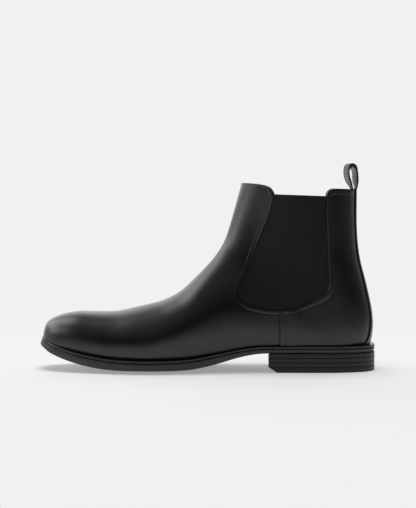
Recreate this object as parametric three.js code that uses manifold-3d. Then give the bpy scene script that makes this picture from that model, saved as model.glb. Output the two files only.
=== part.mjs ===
// Chelsea boot for the left foot, as separate pieces.
// Millimetres, +Z up, the boot stands on Z = 0. The toe points to -X, the heel to +X,
// the outer (lateral) side of the foot to -Y and the inner (medial) side to +Y.
//
// The upper is one smooth foot-and-leg form, made from cross sections that lean back like a
// fan: upright across the toes, level at the collar. Every layer of the upper is a shell
// between two offsets of that form, cut by outlines drawn in side view. The sole plates are
// plan outlines taken from the same form, cut to curved thickness.
import * as THREE from "three";
import { mergeVertices } from "three/addons/utils/BufferGeometryUtils.js";
import Module from "manifold-3d";

const wasm = await Module();
wasm.setup();

// ---------------------------------------------------------------- driving dimensions

const GAP = 0.3; // kept between neighbouring pieces
const LEATHER = 1.6;
const STIFFENER = 1.2; // toe puff, counter and elastic are equally thick
const LINING = 0.9;
const WELT = 2.2;
const INSOLE = 2.0;
const SOCK = 1.2;
const PAD = 3.0;
const STRAP = 1.4;

const MIDDLE_DEPTH = LEATHER + GAP; // where puff, counter and elastic start
const INNER_DEPTH = MIDDLE_DEPTH + STIFFENER + GAP; // where the lining starts behind them
const LASTING_MARGIN = 13; // leather turned in under the insole
const MARGIN_TOP = 36; // above the turned-in leather everywhere, below the top of the toe
const SEAM_X = 64.8; // side seam between vamp and quarters

const HEEL_BREAST_X = 54.1;
const HEEL_BEVEL_X = 62.6; // front of the top piece where it meets the floor
const HEEL_INSET = 0.4;
const HEEL_LEVELS = [0, 5.4, 9.45, 13.55, 17.2]; // undersides of top piece, lifts and outsole

const NAIL_RADIUS = 1.2;
const NAIL_HEAD_RADIUS = 2.6;
const NAIL_HEAD = 0.8;
const NAIL_TIP_Z = 7.5;

// ---------------------------------------------------------------- curves in side view

// Height of the upper's lower edge (the feather line) above the floor, as [x, z].
const FEATHER_LINE = [
  [-156, 30.6], [-149, 28.4], [-141.5, 24.8], [-121, 18.9], [-100, 14.9], [-84, 13.0],
  [-66, 12.2], [-40, 12.1], [-17.5, 12.9], [-3, 14.9], [12, 17.7], [26, 20.5], [41, 22.7],
  [56, 23.5], [156, 23.5],
];
// Lower edge of the outsole at its rim.
const TREAD_LINE = [
  [-156, 24.4], [-149, 21.7], [-141.5, 17.2], [-121, 10.6], [-100, 6.1], [-84, 4.3],
  [-66, 3.6], [-40, 3.5], [-17.5, 4.2], [-3, 6.3], [12, 9.7], [26, 13.4], [41, 16.2],
  [56, 17.2], [156, 17.2],
];
// How much lower the outsole is in its middle than at its rim.
const TREAD_CROWN = [[-156, 0.3], [-120, 2.3], [-66, 3.3], [-40, 3.3], [0, 2], [40, 0.2], [56, 0], [156, 0]];

// Cubic through [x, value] points, with the slope at each point taken from its neighbours.
function curveAt(points, x) {
  let i = 0;
  while (i < points.length - 2 && x > points[i + 1][0]) i += 1;
  const slope = (k) => {
    const a = points[Math.max(k - 1, 0)];
    const b = points[Math.min(k + 1, points.length - 1)];
    return (b[1] - a[1]) / (b[0] - a[0]);
  };
  const [x0, v0] = points[i];
  const [x1, v1] = points[i + 1];
  const span = x1 - x0;
  const t = THREE.MathUtils.clamp((x - x0) / span, 0, 1);
  const rise = t * t * (3 - 2 * t);
  const startPull = t * (1 - t) * (1 - t) * span * slope(i);
  const endPull = t * t * (1 - t) * span * slope(i + 1);
  return v0 + (v1 - v0) * rise + startPull - endPull;
}

const feather = (x) => curveAt(FEATHER_LINE, x);
const tread = (x, y) => {
  const middle = Math.max(0, 1 - (y / 50) ** 2);
  return curveAt(TREAD_LINE, x) - curveAt(TREAD_CROWN, x) * middle;
};
const padRise = (x) => (PAD + GAP) * THREE.MathUtils.smoothstep(x, 38, 66);

// ---------------------------------------------------------------- form of the foot and leg

// One row per cross section: front point x, z; back point x, z; half width on the outer
// side and on the inner side; sideways shift; where between back and front it is widest;
// fullness below and above that place (2 is an ellipse).
const SECTIONS = [
  [-149.0, 27.0, -149.0, 27.0, 0, 0, 5.0, 0.5, 2.2, 2.2],
  [-148.3, 33.0, -148.6, 20.5, 7.6, 7.4, 5.0, 0.5, 2.3, 2.2],
  [-145.6, 41.6, -146.0, 14.0, 15.0, 14.4, 5.0, 0.5, 2.4, 2.2],
  [-139.2, 46.8, -140.0, 10.0, 22.4, 21.2, 4.8, 0.5, 2.5, 2.3],
  [-129.0, 50.4, -130.0, 8.0, 29.2, 27.4, 4.4, 0.48, 2.5, 2.3],
  [-116.0, 52.4, -117.5, 5.0, 35.2, 32.8, 3.8, 0.47, 2.5, 2.3],
  [-100.0, 52.2, -102.0, 2.5, 40.6, 37.8, 3.0, 0.46, 2.5, 2.2],
  [-84.0, 52.6, -86.0, 1.0, 45.0, 42.2, 2.0, 0.45, 2.5, 2.1],
  [-68.0, 55.6, -70.0, 0.3, 48.4, 46.0, 1.0, 0.44, 2.5, 2.05],
  [-53.0, 59.1, -53.0, 0.0, 50.2, 48.0, 0.3, 0.42, 2.5, 2.0],
  [-38.5, 63.4, -35.0, 0.0, 49.6, 46.8, 0.0, 0.46, 2.4, 2.0],
  [-25.0, 70.6, -14.0, 1.5, 47.2, 43.4, 0.0, 0.49, 2.4, 2.0],
  [-12.0, 82.4, 10.0, 4.5, 43.4, 39.6, 0.0, 0.51, 2.4, 2.0],
  [-2.9, 91.6, 38.0, 8.5, 39.6, 37.2, 0.0, 0.51, 2.45, 2.0],
  [4.8, 100.0, 70.0, 9.5, 37.2, 36.0, 0.0, 0.47, 2.65, 2.0],
  [10.6, 107.8, 102.0, 8.5, 36.0, 35.2, 0.0, 0.41, 2.9, 2.0],
  [14.6, 114.4, 128.0, 10.0, 35.5, 34.8, 0.0, 0.36, 3.0, 2.0],
  [17.4, 120.8, 144.6, 19.5, 34.8, 34.1, 0.0, 0.36, 2.7, 2.0],
  [19.7, 127.8, 149.3, 34.0, 34.1, 33.5, 0.0, 0.36, 2.5, 2.0],
  [22.3, 136.6, 149.0, 52.0, 33.6, 33.1, 0.0, 0.38, 2.4, 2.0],
  [25.2, 147.0, 143.8, 77.0, 33.8, 33.3, 0.0, 0.42, 2.3, 2.0],
  [27.8, 157.0, 137.4, 103.0, 34.7, 34.1, 0.0, 0.45, 2.2, 2.0],
  [29.8, 164.4, 134.6, 131.0, 35.9, 35.3, 0.0, 0.48, 2.15, 2.0],
  [31.3, 170.6, 134.4, 160.0, 37.0, 36.4, 0.0, 0.5, 2.1, 2.0],
  [33.8, 181.0, 134.4, 182.0, 37.8, 37.2, 0.0, 0.5, 2.1, 2.0],
];
const SHIFT_Y = 0.87; // centres the widest part of the sole on Y = 0
const SECTION_STEPS = 30;
const ROUND_STEPS = 22;

// A section between the rows: Catmull-Rom through each column.
function sectionAt(u) {
  const last = SECTIONS.length - 1;
  const place = THREE.MathUtils.clamp(u, 0, 1) * last;
  const i = Math.min(Math.floor(place), last - 1);
  const t = place - i;
  const row = (k) => SECTIONS[THREE.MathUtils.clamp(k, 0, last)];
  return SECTIONS[i].map((_, column) => {
    const [a, b, c, d] = [row(i - 1)[column], row(i)[column], row(i + 1)[column], row(i + 2)[column]];
    const linear = (c - a) * t;
    const square = (2 * a - 5 * b + 4 * c - d) * t * t;
    const cube = (3 * b - a - 3 * c + d) * t * t * t;
    return b + 0.5 * (linear + square + cube);
  });
}

// A point of the form. angle 0 is the back line, 180 degrees the front line; the outer side
// comes first and the inner side after 180 degrees.
function formPoint(u, angle) {
  const [fx, fz, bx, bz, outer, inner, shift, widest, below, above] = sectionAt(u);
  const cos = Math.cos(angle);
  const sin = Math.sin(angle);
  const fullness = cos > 0 ? below : above;
  const along = Math.abs(cos) ** (2 / fullness);
  const across = Math.abs(sin) ** (2 / fullness);
  const t = cos > 0 ? widest * (1 - along) : widest + (1 - widest) * along;
  const y = sin > 0 ? -outer * across : inner * across;
  return new THREE.Vector3(bx + (fx - bx) * t, shift + y + SHIFT_Y, bz + (fz - bz) * t);
}

// The closed form, moved inwards by depth(x, z) along its own normals.
function formSolid(depth) {
  const angleOf = (j) => (j / ROUND_STEPS) * 2 * Math.PI;
  const step = 1 / SECTION_STEPS;
  const tip = formPoint(0, 0);
  tip.x += depth(tip.x, tip.z);
  const corners = [tip];
  for (let i = 1; i <= SECTION_STEPS; i += 1) {
    for (let j = 0; j < ROUND_STEPS; j += 1) {
      const point = formPoint(i * step, angleOf(j));
      const along = formPoint((i + 0.2) * step, angleOf(j)).sub(formPoint((i - 0.2) * step, angleOf(j)));
      const round = formPoint(i * step, angleOf(j + 0.3)).sub(formPoint(i * step, angleOf(j - 0.3)));
      const outward = new THREE.Vector3().crossVectors(along, round).normalize();
      corners.push(point.addScaledVector(outward, -depth(point.x, point.z)));
    }
  }
  const top = formPoint(1, 0).add(formPoint(1, Math.PI)).multiplyScalar(0.5);
  corners.push(top);
  const topIndex = corners.length - 1;
  const at = (i, j) => 1 + (i - 1) * ROUND_STEPS + (j % ROUND_STEPS);
  const faces = [];
  for (let j = 0; j < ROUND_STEPS; j += 1) {
    faces.push(0, at(1, j), at(1, j + 1));
    for (let i = 1; i < SECTION_STEPS; i += 1) {
      faces.push(at(i, j), at(i + 1, j + 1), at(i, j + 1));
      faces.push(at(i, j), at(i + 1, j), at(i + 1, j + 1));
    }
    faces.push(at(SECTION_STEPS, j), topIndex, at(SECTION_STEPS, j + 1));
  }
  const geometry = new THREE.BufferGeometry().setFromPoints(corners);
  geometry.setIndex(faces);
  return solid(geometry);
}

// Half width of the form at a place in side view: the section through it is found by halving.
function halfWidth(x, z, side) {
  let low = 0;
  let high = 1;
  for (let k = 0; k < 40; k += 1) {
    const middle = (low + high) / 2;
    const [fx, fz, bx, bz] = sectionAt(middle);
    const ahead = (fx - bx) * (z - bz) - (fz - bz) * (x - bx) > 0;
    if (ahead) high = middle;
    else low = middle;
  }
  const [fx, fz, bx, bz, outer, inner, shift, widest, below, above] = sectionAt(low);
  const t = ((x - bx) * (fx - bx) + (z - bz) * (fz - bz)) / ((fx - bx) ** 2 + (fz - bz) ** 2);
  const distance = t < widest ? (widest - t) / widest : (t - widest) / (1 - widest);
  const fullness = t < widest ? below : above;
  const spread = Math.max(0, 1 - distance ** fullness) ** (1 / fullness);
  return shift + SHIFT_Y + (side < 0 ? -outer : inner) * spread;
}

// ---------------------------------------------------------------- solids from three.js shapes

function solid(geometry) {
  geometry.deleteAttribute("normal");
  geometry.deleteAttribute("uv");
  const merged = mergeVertices(geometry, 1e-4);
  const vertProperties = new Float32Array(merged.attributes.position.array);
  const triVerts = new Uint32Array(merged.index.array);
  return new wasm.Manifold(new wasm.Mesh({ numProp: 3, vertProperties, triVerts }));
}

function shapeFrom(points) {
  return new THREE.Shape(points.map(([a, b]) => new THREE.Vector2(a, b)));
}

// A side-view outline, as [x, z] points, stretched along Y.
function sidePrism(outline, fromY = -90, toY = 90) {
  const geometry = new THREE.ExtrudeGeometry(shapeFrom(outline), { depth: toY - fromY, bevelEnabled: false });
  return solid(geometry.rotateX(Math.PI / 2).translate(0, toY, 0));
}

// A plan outline, as [x, y] points, stretched along Z.
function planPrism(outline, fromZ = -5, toZ = 60) {
  const geometry = new THREE.ExtrudeGeometry(shapeFrom(outline), { depth: toZ - fromZ, bevelEnabled: false });
  return solid(geometry.translate(0, 0, fromZ));
}

// Everything between two heights that depend on x and y.
function between(lowAt, highAt, acrossSteps = 1) {
  const geometry = new THREE.BoxGeometry(330, 130, 2, 26, acrossSteps, 1);
  const position = geometry.attributes.position;
  for (let i = 0; i < position.count; i += 1) {
    const [x, y] = [position.getX(i), position.getY(i)];
    position.setZ(i, position.getZ(i) > 0 ? highAt(x, y) : lowAt(x, y));
  }
  return solid(geometry);
}

const SKY = 240; // above everything

// ---------------------------------------------------------------- plan outlines of the sole

const TOE_X = -148.85;
const BACK_X = 146.9;
const OUTLINE_STEPS = 22;

const rimPoint = (x, side) => new THREE.Vector2(x, halfWidth(x, feather(x), side));

// The rim of the form on the feather line, pushed outwards by reach(x).
function rimOutline(reach) {
  const outer = [];
  const inner = [];
  for (let k = 1; k < OUTLINE_STEPS; k += 1) {
    const share = (1 - Math.cos((k / OUTLINE_STEPS) * Math.PI)) / 2;
    const x = TOE_X + (BACK_X - TOE_X) * share;
    outer.push(rimPoint(x, -1));
    inner.push(rimPoint(x, 1));
  }
  const toe = new THREE.Vector2(TOE_X, 5 + SHIFT_Y);
  const back = new THREE.Vector2(BACK_X, SHIFT_Y);
  const ring = [toe, ...outer, back, ...inner.reverse()];
  return ring.map((point, k) => {
    const before = ring[(k + ring.length - 1) % ring.length];
    const after = ring[(k + 1) % ring.length];
    const along = after.clone().sub(before).normalize();
    const out = new THREE.Vector2(along.y, -along.x);
    return point.clone().addScaledVector(out, reach(point.x)).toArray();
  });
}

// The rim moved inwards a good way, with blunt ends.
function insetOutline(inset) {
  const outer = [];
  const inner = [];
  const [fromX, toX] = [TOE_X + inset + 1, BACK_X - inset - 1];
  for (let k = 0; k <= OUTLINE_STEPS; k += 1) {
    const x = fromX + ((toX - fromX) * k) / OUTLINE_STEPS;
    const [low, high] = [rimPoint(x, -1).y + inset, rimPoint(x, 1).y - inset];
    if (high - low > 4) {
      outer.push([x, low]);
      inner.push([x, high]);
    }
  }
  return [...outer, ...inner.reverse()];
}

const weltReach = (x) => curveAt([[-156, 3.5], [-60, 3.6], [-10, 2.9], [30, 2.2], [120, 2.6], [147, 5.6]], x);

const weltOutline = rimOutline(weltReach);
const treadOutline = rimOutline((x) => weltReach(x) - 0.3);
const heelOutline = rimOutline((x) => weltReach(x) - HEEL_INSET);
const innerOutline = insetOutline(LASTING_MARGIN);
const fillerOutline = insetOutline(LASTING_MARGIN + GAP);
const insoleOutline = rimOutline(() => -0.5);

// ---------------------------------------------------------------- side-view outlines of the upper

// Top edge of the shaft: front, over the elastic, back.
const COLLAR = [
  [0, 169.5], [36, 169.4], [44, 168.3], [51, 166.9], [55.5, 165.0], [58.0, 162.0], [58.8, 158.8],
  [106.4, 157.4], [106.9, 160.2], [109.2, 162.8], [113, 164.2], [150, 163.6],
];
const GORE_OPENING = [
  [58.8, 200], [58.2, 157], [56.7, 150], [53.6, 139], [50.4, 131.4], [44.0, 114.8], [36.5, 93.8],
  [28.4, 77.0], [27.4, 71.4], [31.6, 63.9], [38.0, 60.2], [47.5, 57.4], [64.0, 55.6], [79, 58.4],
  [88, 60.2], [96, 65.2], [107.2, 72.6], [108.6, 79], [107.6, 104.7], [106.2, 138.4], [106.4, 157],
  [106.4, 200],
];
const GORE_MARGIN = 6.5;
const GORE_PANEL = [
  [58.8 - GORE_MARGIN, 157.6], [46, 137], [29, 93.6], [21, 78], [20, 68], [27, 57], [42, 52],
  [64, 49], [84, 52.5], [99, 59], [113, 68], [115, 79], [113.6, 105], [112.6, 157.6],
];

const belowCollar = sidePrism([[-170, -5], [170, -5], [170, 163.4], ...[...COLLAR].reverse(), [-170, 169.5]]);
const goreOpening = sidePrism(GORE_OPENING);
const aheadOfSeam = sidePrism([[-170, -5], [SEAM_X - GAP / 2, -5], [SEAM_X - GAP / 2, SKY], [-170, SKY]]);
const behindSeam = sidePrism([[SEAM_X + GAP / 2, -5], [170, -5], [170, SKY], [SEAM_X + GAP / 2, SKY]]);

// ---------------------------------------------------------------- layers of the upper

const ramp = THREE.MathUtils.smoothstep;

// The lining lies against the leather, and deeper where puff, counter or elastic is between.
function liningDepth(x, z) {
  const atToe = 1 - ramp(x, -97, -82);
  const goreFront = 27 + (z - 72) * 0.365 - GORE_MARGIN;
  const atGore = ramp(x - goreFront, -24, -11) * (1 - ramp(x, 122, 132)) * ramp(z, 24, 37);
  const atCounter = ramp(x, 64, 76) * (1 - ramp(z, 92, 104));
  const share = Math.max(atToe, atGore, atCounter);
  return MIDDLE_DEPTH + (INNER_DEPTH - MIDDLE_DEPTH) * share;
}

const form = formSolid(() => 0);
const leatherBack = formSolid(() => LEATHER);
const middleFront = formSolid(() => MIDDLE_DEPTH);
const middleBack = formSolid(() => MIDDLE_DEPTH + STIFFENER);
const liningFront = formSolid(liningDepth);
const liningBack = formSolid((x, z) => liningDepth(x, z) + LINING);
const footRoom = formSolid((x, z) => liningDepth(x, z) + LINING + GAP);

const aboveFeather = (lift) => between((x) => feather(x) + lift, () => SKY);

const lastedLeather = form
  .intersect(aboveFeather(GAP))
  .subtract(leatherBack.intersect(aboveFeather(GAP + LEATHER)))
  .subtract(planPrism(innerOutline, -5, MARGIN_TOP))
  .intersect(belowCollar)
  .subtract(goreOpening);

const stiffener = middleFront.subtract(middleBack).intersect(aboveFeather(LEATHER + 3 * GAP));
const lining = liningFront
  .subtract(liningBack)
  .intersect(aboveFeather(LEATHER + 3 * GAP))
  .intersect(belowCollar)
  .subtract(goreOpening);

const OUTER_SIDE = [-90, -GAP / 2 + SHIFT_Y];
const INNER_SIDE = [GAP / 2 + SHIFT_Y, 90];

const everywhere = [[-170, -5], [170, -5], [170, SKY], [-170, SKY]];
const quarter = (side) => lastedLeather.intersect(behindSeam).intersect(sidePrism(everywhere, ...side));
const gore = (side) => middleFront.subtract(middleBack).intersect(sidePrism(GORE_PANEL, ...side));

const toePuff = stiffener.intersect(sidePrism([[-170, 0], [-110, 0], [-105, 60], [-170, 60]]));
const heelCounter = stiffener.intersect(
  sidePrism([[90, 0], [170, 0], [170, 76], [146, 78], [122, 76], [118, 66], [104, 56], [92, 44]]),
);

// Strip over the back seam, drawn as seen from behind: half width at each height.
function backstay() {
  const halfWidths = [[26.6, 20], [31, 17.6], [40, 15.8], [60, 13.6], [90, 11.4], [125, 9.2], [160.4, 8.2]];
  const right = halfWidths.map(([z, w]) => [SHIFT_Y + w, z]);
  const left = halfWidths.map(([z, w]) => [SHIFT_Y - w, z]).reverse();
  const outline = shapeFrom([...right, ...left]);
  const geometry = new THREE.ExtrudeGeometry(outline, { depth: 80, bevelEnabled: false });
  // The outline's first axis becomes Y, its second Z and the depth X.
  geometry.applyMatrix4(new THREE.Matrix4().makeBasis(
    new THREE.Vector3(0, 1, 0), new THREE.Vector3(0, 0, 1), new THREE.Vector3(1, 0, 0),
  ));
  const strip = solid(geometry.translate(95, 0, 0));
  return formSolid(() => -GAP - STRAP).subtract(formSolid(() => -GAP)).intersect(strip);
}

// Closed strap that stands over the collar, as a ring drawn in side view.
function pullLoop() {
  const WIDTH = 16;
  const middleLine = new THREE.CatmullRomCurve3(
    [
      [133.3, 166.5], [134.9, 168.4], [135.1, 173.0], [135.2, 179.0], [134.3, 184.2],
      [130.7, 186.6], [127.3, 181.6], [127.6, 176.8], [129.2, 172.0], [131.5, 168.4],
    ].map(([x, z]) => new THREE.Vector3(x, z, 0)),
    true,
    "centripetal",
  );
  const STEPS = 28;
  const edge = (offset) => Array.from({ length: STEPS }, (_, k) => {
    const point = middleLine.getPoint(k / STEPS);
    const along = middleLine.getTangent(k / STEPS);
    return new THREE.Vector2(point.x - along.y * offset, point.y + along.x * offset);
  });
  const ring = new THREE.Shape(edge(-STRAP / 2));
  ring.holes.push(new THREE.Path(edge(STRAP / 2)));
  const geometry = new THREE.ExtrudeGeometry(ring, { depth: WIDTH, bevelEnabled: false });
  return solid(geometry.rotateX(Math.PI / 2).translate(0, WIDTH / 2 + SHIFT_Y, 0));
}

// ---------------------------------------------------------------- sole, heel and insides

// Nails stand in a U round the heel seat. grow widens the hole that a nail passes through.
const NAILS = [-100, -50, 0, 50, 100].map((degrees) => {
  const angle = THREE.MathUtils.degToRad(degrees);
  return [112 + 14 * Math.cos(angle), SHIFT_Y + 13 * Math.sin(angle)];
});
const insoleTop = (x) => feather(x) + LEATHER + 2 * GAP + INSOLE;

function nail([x, y], grow = 0) {
  const top = insoleTop(x) + (grow > 0 ? 1 : 0);
  const neck = insoleTop(x) - NAIL_HEAD - grow;
  const profile = [
    [0, NAIL_TIP_Z - grow], [NAIL_RADIUS + grow, NAIL_TIP_Z - grow], [NAIL_RADIUS + grow, neck],
    [NAIL_HEAD_RADIUS + grow, neck], [NAIL_HEAD_RADIUS + grow, top], [0, top],
  ];
  const geometry = new THREE.LatheGeometry(profile.map(([r, z]) => new THREE.Vector2(r, z)), 8);
  return solid(geometry.rotateX(Math.PI / 2).translate(x, y, 0));
}

const nailHoles = NAILS.map((place) => nail(place, GAP));
const drilled = (piece) => nailHoles.reduce((rest, hole) => rest.subtract(hole), piece);

const weltBottom = (x) => feather(x) - WELT;
const outsoleTop = (x) => weltBottom(x) - GAP;

const welt = planPrism(weltOutline)
  .subtract(planPrism(innerOutline, -10, 70))
  .intersect(between(weltBottom, feather));
const outsole = drilled(planPrism(treadOutline).intersect(between(tread, outsoleTop, 6)));

const behindBreast = sidePrism([
  [HEEL_BREAST_X, 30], [HEEL_BREAST_X, HEEL_LEVELS[1]], [HEEL_BEVEL_X, 0], [170, 0], [170, 30],
]);
function heelLayer(level) {
  const bottom = HEEL_LEVELS[level];
  const top = HEEL_LEVELS[level + 1] - GAP;
  return drilled(planPrism(heelOutline, bottom, top).intersect(behindBreast));
}

const SHANK = [[-8, -6], [40, -7], [92, -6], [92, 6], [40, 7], [-8, 6]].map(([x, y]) => [x, y + SHIFT_Y]);
const SHANK_SLOT = SHANK.map(([x, y]) => [x + Math.sign(x - 40) * GAP, y + Math.sign(y) * GAP]);
const shank = planPrism(SHANK).intersect(between((x) => feather(x) - 0.6, (x) => feather(x) + 0.6));
const filler = drilled(
  planPrism(fillerOutline)
    .subtract(planPrism(SHANK_SLOT, -10, 70))
    .intersect(between(weltBottom, (x) => feather(x) + GAP + LEATHER)),
);

const insoleBottom = (x) => feather(x) + LEATHER + 2 * GAP;
const insole = drilled(
  planPrism(insoleOutline).intersect(footRoom).intersect(between(insoleBottom, insoleTop)),
);
const sockBottom = (x) => insoleTop(x) + GAP + padRise(x);
const sock = planPrism(insoleOutline)
  .intersect(footRoom)
  .intersect(between(sockBottom, (x) => sockBottom(x) + SOCK));
const heelPad = planPrism(insetOutline(6))
  .intersect(footRoom)
  .intersect(sidePrism([[64, 0], [170, 0], [170, 60], [64, 60]]))
  .intersect(between((x) => insoleTop(x) + GAP, (x) => sockBottom(x) - GAP));

// ---------------------------------------------------------------- the boot

const finish = (color, roughness, metalness = 0) => ({ color, roughness, metalness });
const BLACK_LEATHER = finish(0x0b0c0e, 0.38);
const ELASTIC = finish(0x0a0a0b, 0.9);
const LINING_LEATHER = finish(0x17171a, 0.7);
const BOARD = finish(0x7a6248, 0.85);
const SOLE = finish(0x101012, 0.55);
const STACK = finish(0x141414, 0.5);
const STEEL = finish(0x8c8f94, 0.35, 1);
const CORK = finish(0x9c7448, 0.95);
const FOAM = finish(0x2c2c2e, 0.95);

const boot = new THREE.Group();

function add(name, piece, look) {
  const mesh = piece.getMesh();
  const geometry = new THREE.BufferGeometry();
  geometry.setAttribute("position", new THREE.BufferAttribute(new Float32Array(mesh.vertProperties), 3));
  geometry.setIndex(new THREE.BufferAttribute(new Uint32Array(mesh.triVerts), 1));
  const node = new THREE.Mesh(geometry, new THREE.MeshStandardMaterial(look));
  node.name = name;
  boot.add(node);
}

add("vamp", lastedLeather.intersect(aheadOfSeam), BLACK_LEATHER);
add("quarter_lateral", quarter(OUTER_SIDE), BLACK_LEATHER);
add("quarter_medial", quarter(INNER_SIDE), BLACK_LEATHER);
add("gore_lateral", gore(OUTER_SIDE), ELASTIC);
add("gore_medial", gore(INNER_SIDE), ELASTIC);
add("backstay", backstay(), BLACK_LEATHER);
add("pull_loop", pullLoop(), BLACK_LEATHER);
add("vamp_lining", lining.intersect(aheadOfSeam), LINING_LEATHER);
add("quarter_lining", lining.intersect(behindSeam), LINING_LEATHER);
add("toe_puff", toePuff, BOARD);
add("heel_counter", heelCounter, BOARD);
add("welt", welt, SOLE);
add("outsole", outsole, SOLE);
add("bottom_filler", filler, CORK);
add("shank", shank, STEEL);
add("insole", insole, BOARD);
add("heel_pad", heelPad, FOAM);
add("sock_liner", sock, LINING_LEATHER);
add("heel_top_piece", heelLayer(0), SOLE);
for (const level of [1, 2, 3]) add(`heel_lift_${level}`, heelLayer(level), STACK);
NAILS.forEach((place, k) => add(`heel_nail_${k + 1}`, nail(place), STEEL));

export default boot;
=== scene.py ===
"""The looks of the Chelsea boot: leather panels, elastic, stitching, linings, sole and heel.

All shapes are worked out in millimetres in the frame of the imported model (toe to -X, heel
to +X, outer side to -Y, +Z up) and written to Blender in metres.
"""
import math

import bmesh
import bpy
import numpy as np
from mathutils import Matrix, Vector
from mathutils.geometry import delaunay_2d_cdt


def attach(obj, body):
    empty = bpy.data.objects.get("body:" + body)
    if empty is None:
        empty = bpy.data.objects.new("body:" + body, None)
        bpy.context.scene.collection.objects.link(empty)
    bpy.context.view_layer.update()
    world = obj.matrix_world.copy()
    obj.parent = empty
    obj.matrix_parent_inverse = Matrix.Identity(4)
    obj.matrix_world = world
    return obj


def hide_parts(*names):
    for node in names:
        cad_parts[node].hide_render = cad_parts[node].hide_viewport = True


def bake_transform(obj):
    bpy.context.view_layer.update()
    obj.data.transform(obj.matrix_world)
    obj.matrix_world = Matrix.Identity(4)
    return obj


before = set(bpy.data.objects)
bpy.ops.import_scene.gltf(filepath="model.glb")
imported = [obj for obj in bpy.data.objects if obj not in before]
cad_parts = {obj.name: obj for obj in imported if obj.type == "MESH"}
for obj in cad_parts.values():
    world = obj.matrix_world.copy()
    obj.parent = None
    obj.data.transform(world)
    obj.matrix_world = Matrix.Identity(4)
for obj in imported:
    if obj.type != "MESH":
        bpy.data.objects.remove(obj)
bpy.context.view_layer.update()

MM = 0.001
OUTER, INNER = -1, 1  # sides of the foot
SIDES = ((OUTER, "outer"), (INNER, "inner"))
WEAVE_ACROSS, WEAVE_UP = 3.5, 2.26  # repeat of the elastic's diamonds

# Thicknesses
LEATHER = 1.6
STRAP = 1.4
LINING = 0.9
WELT = 2.2

# ---- curves in side view

FEATHER_LINE = [
    (-156, 30.6), (-149, 28.4), (-141.5, 24.8), (-121, 18.9), (-100, 14.9), (-84, 13.0),
    (-66, 12.2), (-40, 12.1), (-17.5, 12.9), (-3, 14.9), (12, 17.7), (26, 20.5), (41, 22.7),
    (56, 23.5), (156, 23.5),
]
TREAD_LINE = [
    (-156, 24.4), (-149, 21.7), (-141.5, 17.2), (-121, 10.6), (-100, 6.1), (-84, 4.3),
    (-66, 3.6), (-40, 3.5), (-17.5, 4.2), (-3, 6.3), (12, 9.7), (26, 13.4), (41, 16.2),
    (56, 17.2), (156, 17.2),
]
TREAD_CROWN = [
    (-156, 0.3), (-120, 2.3), (-66, 3.3), (-40, 3.3), (0, 2), (40, 0.2), (56, 0), (156, 0),
]
WELT_REACH = [(-156, 3.5), (-60, 3.6), (-10, 2.9), (30, 2.2), (120, 2.6), (147, 5.6)]


def curve_at(points, x):
    """Cubic through the points, each slope taken from its neighbours."""
    table = np.array(points, float)
    x = np.clip(np.asarray(x, float), table[0, 0], table[-1, 0])
    before = np.clip(np.arange(len(table)) - 1, 0, None)
    after = np.clip(np.arange(len(table)) + 1, None, len(table) - 1)
    slope = (table[after, 1] - table[before, 1]) / (table[after, 0] - table[before, 0])
    i = np.clip(np.searchsorted(table[:, 0], x) - 1, 0, len(table) - 2)
    span = table[i + 1, 0] - table[i, 0]
    t = (x - table[i, 0]) / span
    rise = t * t * (3 - 2 * t)
    start_pull = t * (1 - t) ** 2 * span * slope[i]
    end_pull = t * t * (1 - t) * span * slope[i + 1]
    return table[i, 1] + (table[i + 1, 1] - table[i, 1]) * rise + start_pull - end_pull


def feather(x):
    return curve_at(FEATHER_LINE, x)


def tread(x, y):
    middle = np.clip(1 - (np.asarray(y) / 50) ** 2, 0, None)
    return curve_at(TREAD_LINE, x) - curve_at(TREAD_CROWN, x) * middle


def welt_reach(x):
    return curve_at(WELT_REACH, x)


def ramp(value, low, high):
    t = np.clip((value - low) / (high - low), 0, 1)
    return t * t * (3 - 2 * t)


def bell(value, middle, width):
    return np.exp(-(((value - middle) / width) ** 2))


# ---- form of the foot and leg

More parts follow.
